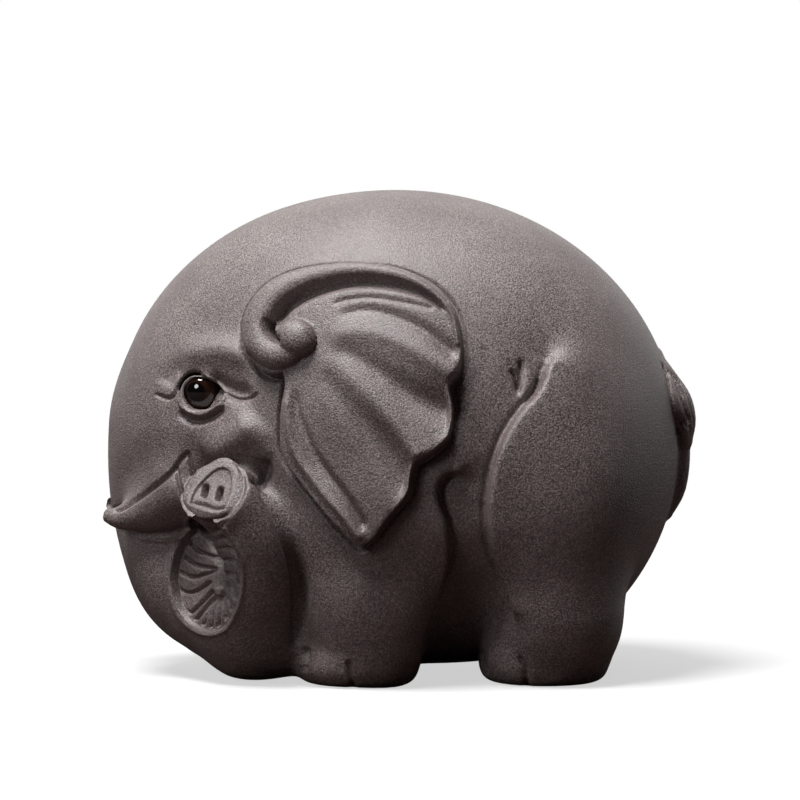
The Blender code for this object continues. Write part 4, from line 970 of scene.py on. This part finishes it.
def glass_eye(name, centre, gaze):
    """A blown glass bead, painted from behind with a black pupil and a dark brown iris. Its polish gives a
    sharp small highlight. The gaze is the way that the middle of the pupil faces."""
    material, tree, shader = new_material("painted glass eye " + name, Metallic=0.0, IOR=GLASS_IOR,
                                          Roughness=GLASS_ROUGHNESS, Coat_Weight=1.0)
    place = add(tree, "TexCoord").outputs["Object"]
    off = add(tree, "VectorMath", {"operation": "SUBTRACT"}, i0=place, i1=centre)
    along = add(tree, "VectorMath", {"operation": "NORMALIZE"}, i0=off.outputs[0])
    facing = add(tree, "VectorMath", {"operation": "DOT_PRODUCT"}, i0=along.outputs[0], i1=gaze)
    angle = add(tree, "Math", {"operation": "ARCCOSINE"}, i0=facing.outputs["Value"]).outputs[0]
    share = add(tree, "Math", {"operation": "DIVIDE"}, i0=angle, i1=math.pi / 2)
    pupil, iris = PUPIL_ANGLE / (math.pi / 2), IRIS_ANGLE / (math.pi / 2)
    inner_edge, outer_edge = PUPIL_EDGE
    colour = ramp_of(tree, share.outputs[0],
                     [(pupil - inner_edge, PUPIL_COLOUR), (pupil + outer_edge, IRIS_INNER),
                      ((pupil + iris) / 2, IRIS_MIDDLE), (iris, IRIS_OUTER)])
    tree.links.new(colour, shader.inputs["Base Color"])
    return material


# Places to be refined, each as distances behind the front, heights and distances off the middle plane.
ANY = math.inf
FACE_PLACE = (-ANY, 40), (1, 57), (8, ANY)
EAR_PLACE = (22, 66), (22, 78), (20, ANY)
TAIL_END_PLACE = (96, ANY), (-ANY, ANY), (-ANY, 9)
CURL_PLACE = (10, 27.5), (5.5, 40), (15, ANY)
EYE_PLACE = (9, 28), (45, 56), (12, ANY)


def within(points, back, height, aside):
    """True for the points of that place, on both sides."""
    x, y, z = points[:, 0] - FRONT, np.abs(points[:, 1]), points[:, 2]
    return (x > back[0]) & (x < back[1]) & (z > height[0]) & (z < height[1]) & (y > aside[0]) & (y < aside[1])


def refine(obj, wanted):
    """Splits each face whose middle is wanted into four, so that the finest relief has points to stand on."""
    mesh = obj.data
    work = bmesh.new()
    work.from_mesh(mesh)
    work.faces.ensure_lookup_table()
    middles = np.array([face.calc_center_median() for face in work.faces]) / MM
    keep = wanted(middles)
    # Each edge once, in the order of the faces, so that every run gives the same mesh.
    edges = dict.fromkeys(edge for face, use in zip(work.faces, keep) if use for edge in face.edges)
    bmesh.ops.subdivide_edges(work, edges=list(edges), cuts=1, use_grid_fill=True)
    work.to_mesh(mesh)
    work.free()


def finest_places(points):
    """True on the left side at the open curl of the trunk and its end, and at both eyes."""
    return within(points, *CURL_PLACE) & (points[:, 1] < 0) | within(points, *EYE_PLACE)


def carved_places(points):
    """True on the sides of the head, trunk and ears and at the tail, where the relief is fine."""
    return within(points, *FACE_PLACE) | within(points, *EAR_PLACE) | within(points, *TAIL_END_PLACE)


# The table, in metres. The camera sees its colour, and other rays meet a dark warm card.
FLOOR_SIZE = 6.0
FLOOR_COLOUR = "#f0f0f0"
FLOOR_BOUNCE = "#2e1c18"
FLOOR_ROUGHNESS = 0.9
SHADOW_NEAR = 0.05
SHADOW_FAR = 0.40
GLOW_NEAR = 0.6


def make_floor():
    """A plain table top. The camera sees it white far off and with the object's soft shadow near it."""
    bpy.ops.mesh.primitive_plane_add(size=FLOOR_SIZE)
    floor = bpy.context.object
    floor.name = "table"
    material, tree, shader = new_material("matt white card", Roughness=FLOOR_ROUGHNESS)
    floor.data.materials.append(material)
    seen = add(tree, "LightPath")
    camera_ray = seen.outputs["Is Camera Ray"]
    place = add(tree, "TexCoord").outputs["Object"]
    far = add(tree, "VectorMath", {"operation": "LENGTH"}, i0=place).outputs["Value"]
    spread = add(tree, "MapRange", {"From Min": SHADOW_NEAR, "From Max": SHADOW_FAR, "To Min": GLOW_NEAR,
                                    "To Max": 1.0}, Value=far)
    share = add(tree, "Math", {"operation": "MULTIPLY"}, i0=spread.outputs[0], i1=camera_ray)
    card = ramp_of(tree, camera_ray, [(0.0, FLOOR_BOUNCE), (1.0, FLOOR_COLOUR)])
    tree.links.new(card, shader.inputs["Base Color"])
    glow = add(tree, "Emission", {"Strength": 1.0})
    mix = add(tree, "MixShader", i0=share.outputs[0], i1=shader.outputs[0], i2=glow.outputs[0])
    tree.links.new(mix.outputs[0], tree.nodes["Material Output"].inputs["Surface"])


# The light from all round, and how far behind the middle the mirrored backdrop is at its full white.
AMBIENT_COLOUR = "#ffe6dd"
AMBIENT = 0.015
BACKDROP_EDGE = 0.5


def make_world():
    """Faint warm light from all round, and a white backdrop for the camera. Reflections show the backdrop
    where it stands, behind the object."""
    world = bpy.data.worlds.new("plain surround")
    bpy.context.scene.world = world
    world.use_nodes = True
    tree = world.node_tree
    ambient = tree.nodes["Background"]
    ambient.inputs["Color"].default_value = srgb(AMBIENT_COLOUR)
    ambient.inputs["Strength"].default_value = AMBIENT
    white = add(tree, "Background", {"Strength": 1.0}, Color=srgb("#ffffff"))
    seen = add(tree, "LightPath")
    first = add(tree, "Math", {"operation": "MAXIMUM"}, i0=seen.outputs["Is Camera Ray"],
                i1=seen.outputs["Is Transmission Ray"])
    direction = add(tree, "SeparateXYZ", Vector=add(tree, "TexCoord").outputs["Generated"])
    behind = add(tree, "MapRange", {"From Min": 0.0, "From Max": BACKDROP_EDGE}, Value=direction.outputs["Y"])
    mirrored = add(tree, "Math", {"operation": "MULTIPLY"}, i0=seen.outputs["Is Glossy Ray"],
                   i1=behind.outputs[0])
    share = add(tree, "Math", {"operation": "MAXIMUM"}, i0=first.outputs[0], i1=mirrored.outputs[0])
    mix = add(tree, "MixShader", i0=share.outputs[0], i1=ambient.outputs[0], i2=white.outputs[0])
    tree.links.new(mix.outputs[0], tree.nodes["World Output"].inputs["Surface"])


# Lamps as (name, place in metres, size in metres, power in watts).
LAMPS = [
    ("overhead softbox", (0.05, 0.25, 0.95), 0.8, 1.5),
    ("left key", (-0.26, -0.30, 1.08), 0.5, 20.0),
    ("small window", (-0.60, -0.70, 0.48), 0.34, 2.0),
]
CAMERA_DISTANCE = VIEW_DISTANCE * MM
CAMERA_LENS = 505.6
SENSOR_WIDTH = 36.0
CLIP_END = 20
AIM = (0.0, 0.0, VIEW_CENTRE * MM)


def point_at(obj, place, aim):
    """Stands a lamp or the camera at the place and turns it to the aim."""
    obj.location = place
    obj.rotation_euler = (Vector(aim) - Vector(place)).to_track_quat("-Z", "Y").to_euler()


def make_lights():
    for name, place, size, power in LAMPS:
        lamp = bpy.data.lights.new(name, "AREA")
        lamp.shape = "DISK"
        lamp.size = size
        lamp.energy = power
        point_at(new_object(name, lamp, bpy.context.scene.collection), place, AIM)


def make_camera():
    camera = bpy.data.cameras.new("camera")
    camera.lens = CAMERA_LENS
    camera.sensor_width = SENSOR_WIDTH
    camera.clip_end = CLIP_END
    back = Vector((0, -math.cos(VIEW_RISE), math.sin(VIEW_RISE)))
    seat = new_object("camera", camera, bpy.context.scene.collection)
    point_at(seat, Vector(AIM) + back * CAMERA_DISTANCE, AIM)
    bpy.context.scene.camera = seat


def finish_piece(piece, name, material):
    """Names the piece and gives it its material and smooth shading."""
    piece.name = name
    piece.data.materials.clear()
    piece.data.materials.append(material)
    for face in piece.data.polygons:
        face.use_smooth = True


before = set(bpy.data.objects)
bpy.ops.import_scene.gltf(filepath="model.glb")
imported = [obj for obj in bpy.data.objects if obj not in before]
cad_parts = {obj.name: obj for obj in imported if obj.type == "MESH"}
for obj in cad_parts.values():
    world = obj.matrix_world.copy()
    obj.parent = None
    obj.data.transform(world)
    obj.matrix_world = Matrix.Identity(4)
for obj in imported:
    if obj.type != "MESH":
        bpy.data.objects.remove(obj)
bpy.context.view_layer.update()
body_low, body_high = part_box("body")

clay = make_clay(VOXEL)
thin_out(clay, CLAY_TRIANGLES)
stand_on_floor(clay)
cutters = make_cutters()
points = read_points(clay.data)
middle = (points.min(axis=0) + points.max(axis=0)) / 2 - np.array((body_low + body_high) / 2) / MM
middle[2] = 0
for name, cutter in cutters.items():
    apply_modifier(clay, name, "BOOLEAN", operation="DIFFERENCE", solver="MANIFOLD", object=cutter)
    bpy.data.objects.remove(cutter)
write_points(clay.data, read_points(clay.data) - middle)
finish_piece(clay, "clay_elephant", fired_clay())
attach(clay, "root")
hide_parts("body")

for name, side in SIDES:
    radius = EYE_DIAMETER / 2
    centre = (eye_centre() - middle * [1, side, 1]) * [1, side, 1]
    bead = new_ball(centre, (radius, radius, radius), EYE_SEGMENTS)
    gaze = (-math.sin(GAZE_FORWARD), -side * math.cos(GAZE_FORWARD), 0.0)
    finish_piece(bead, "glass_eye_" + name, glass_eye(name, tuple(centre * MM), gaze))
    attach(bead, "root")
    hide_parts("eye_" + name)

make_floor()
make_world()
make_lights()
make_camera()
bpy.context.scene.view_settings.view_transform = "Standard"
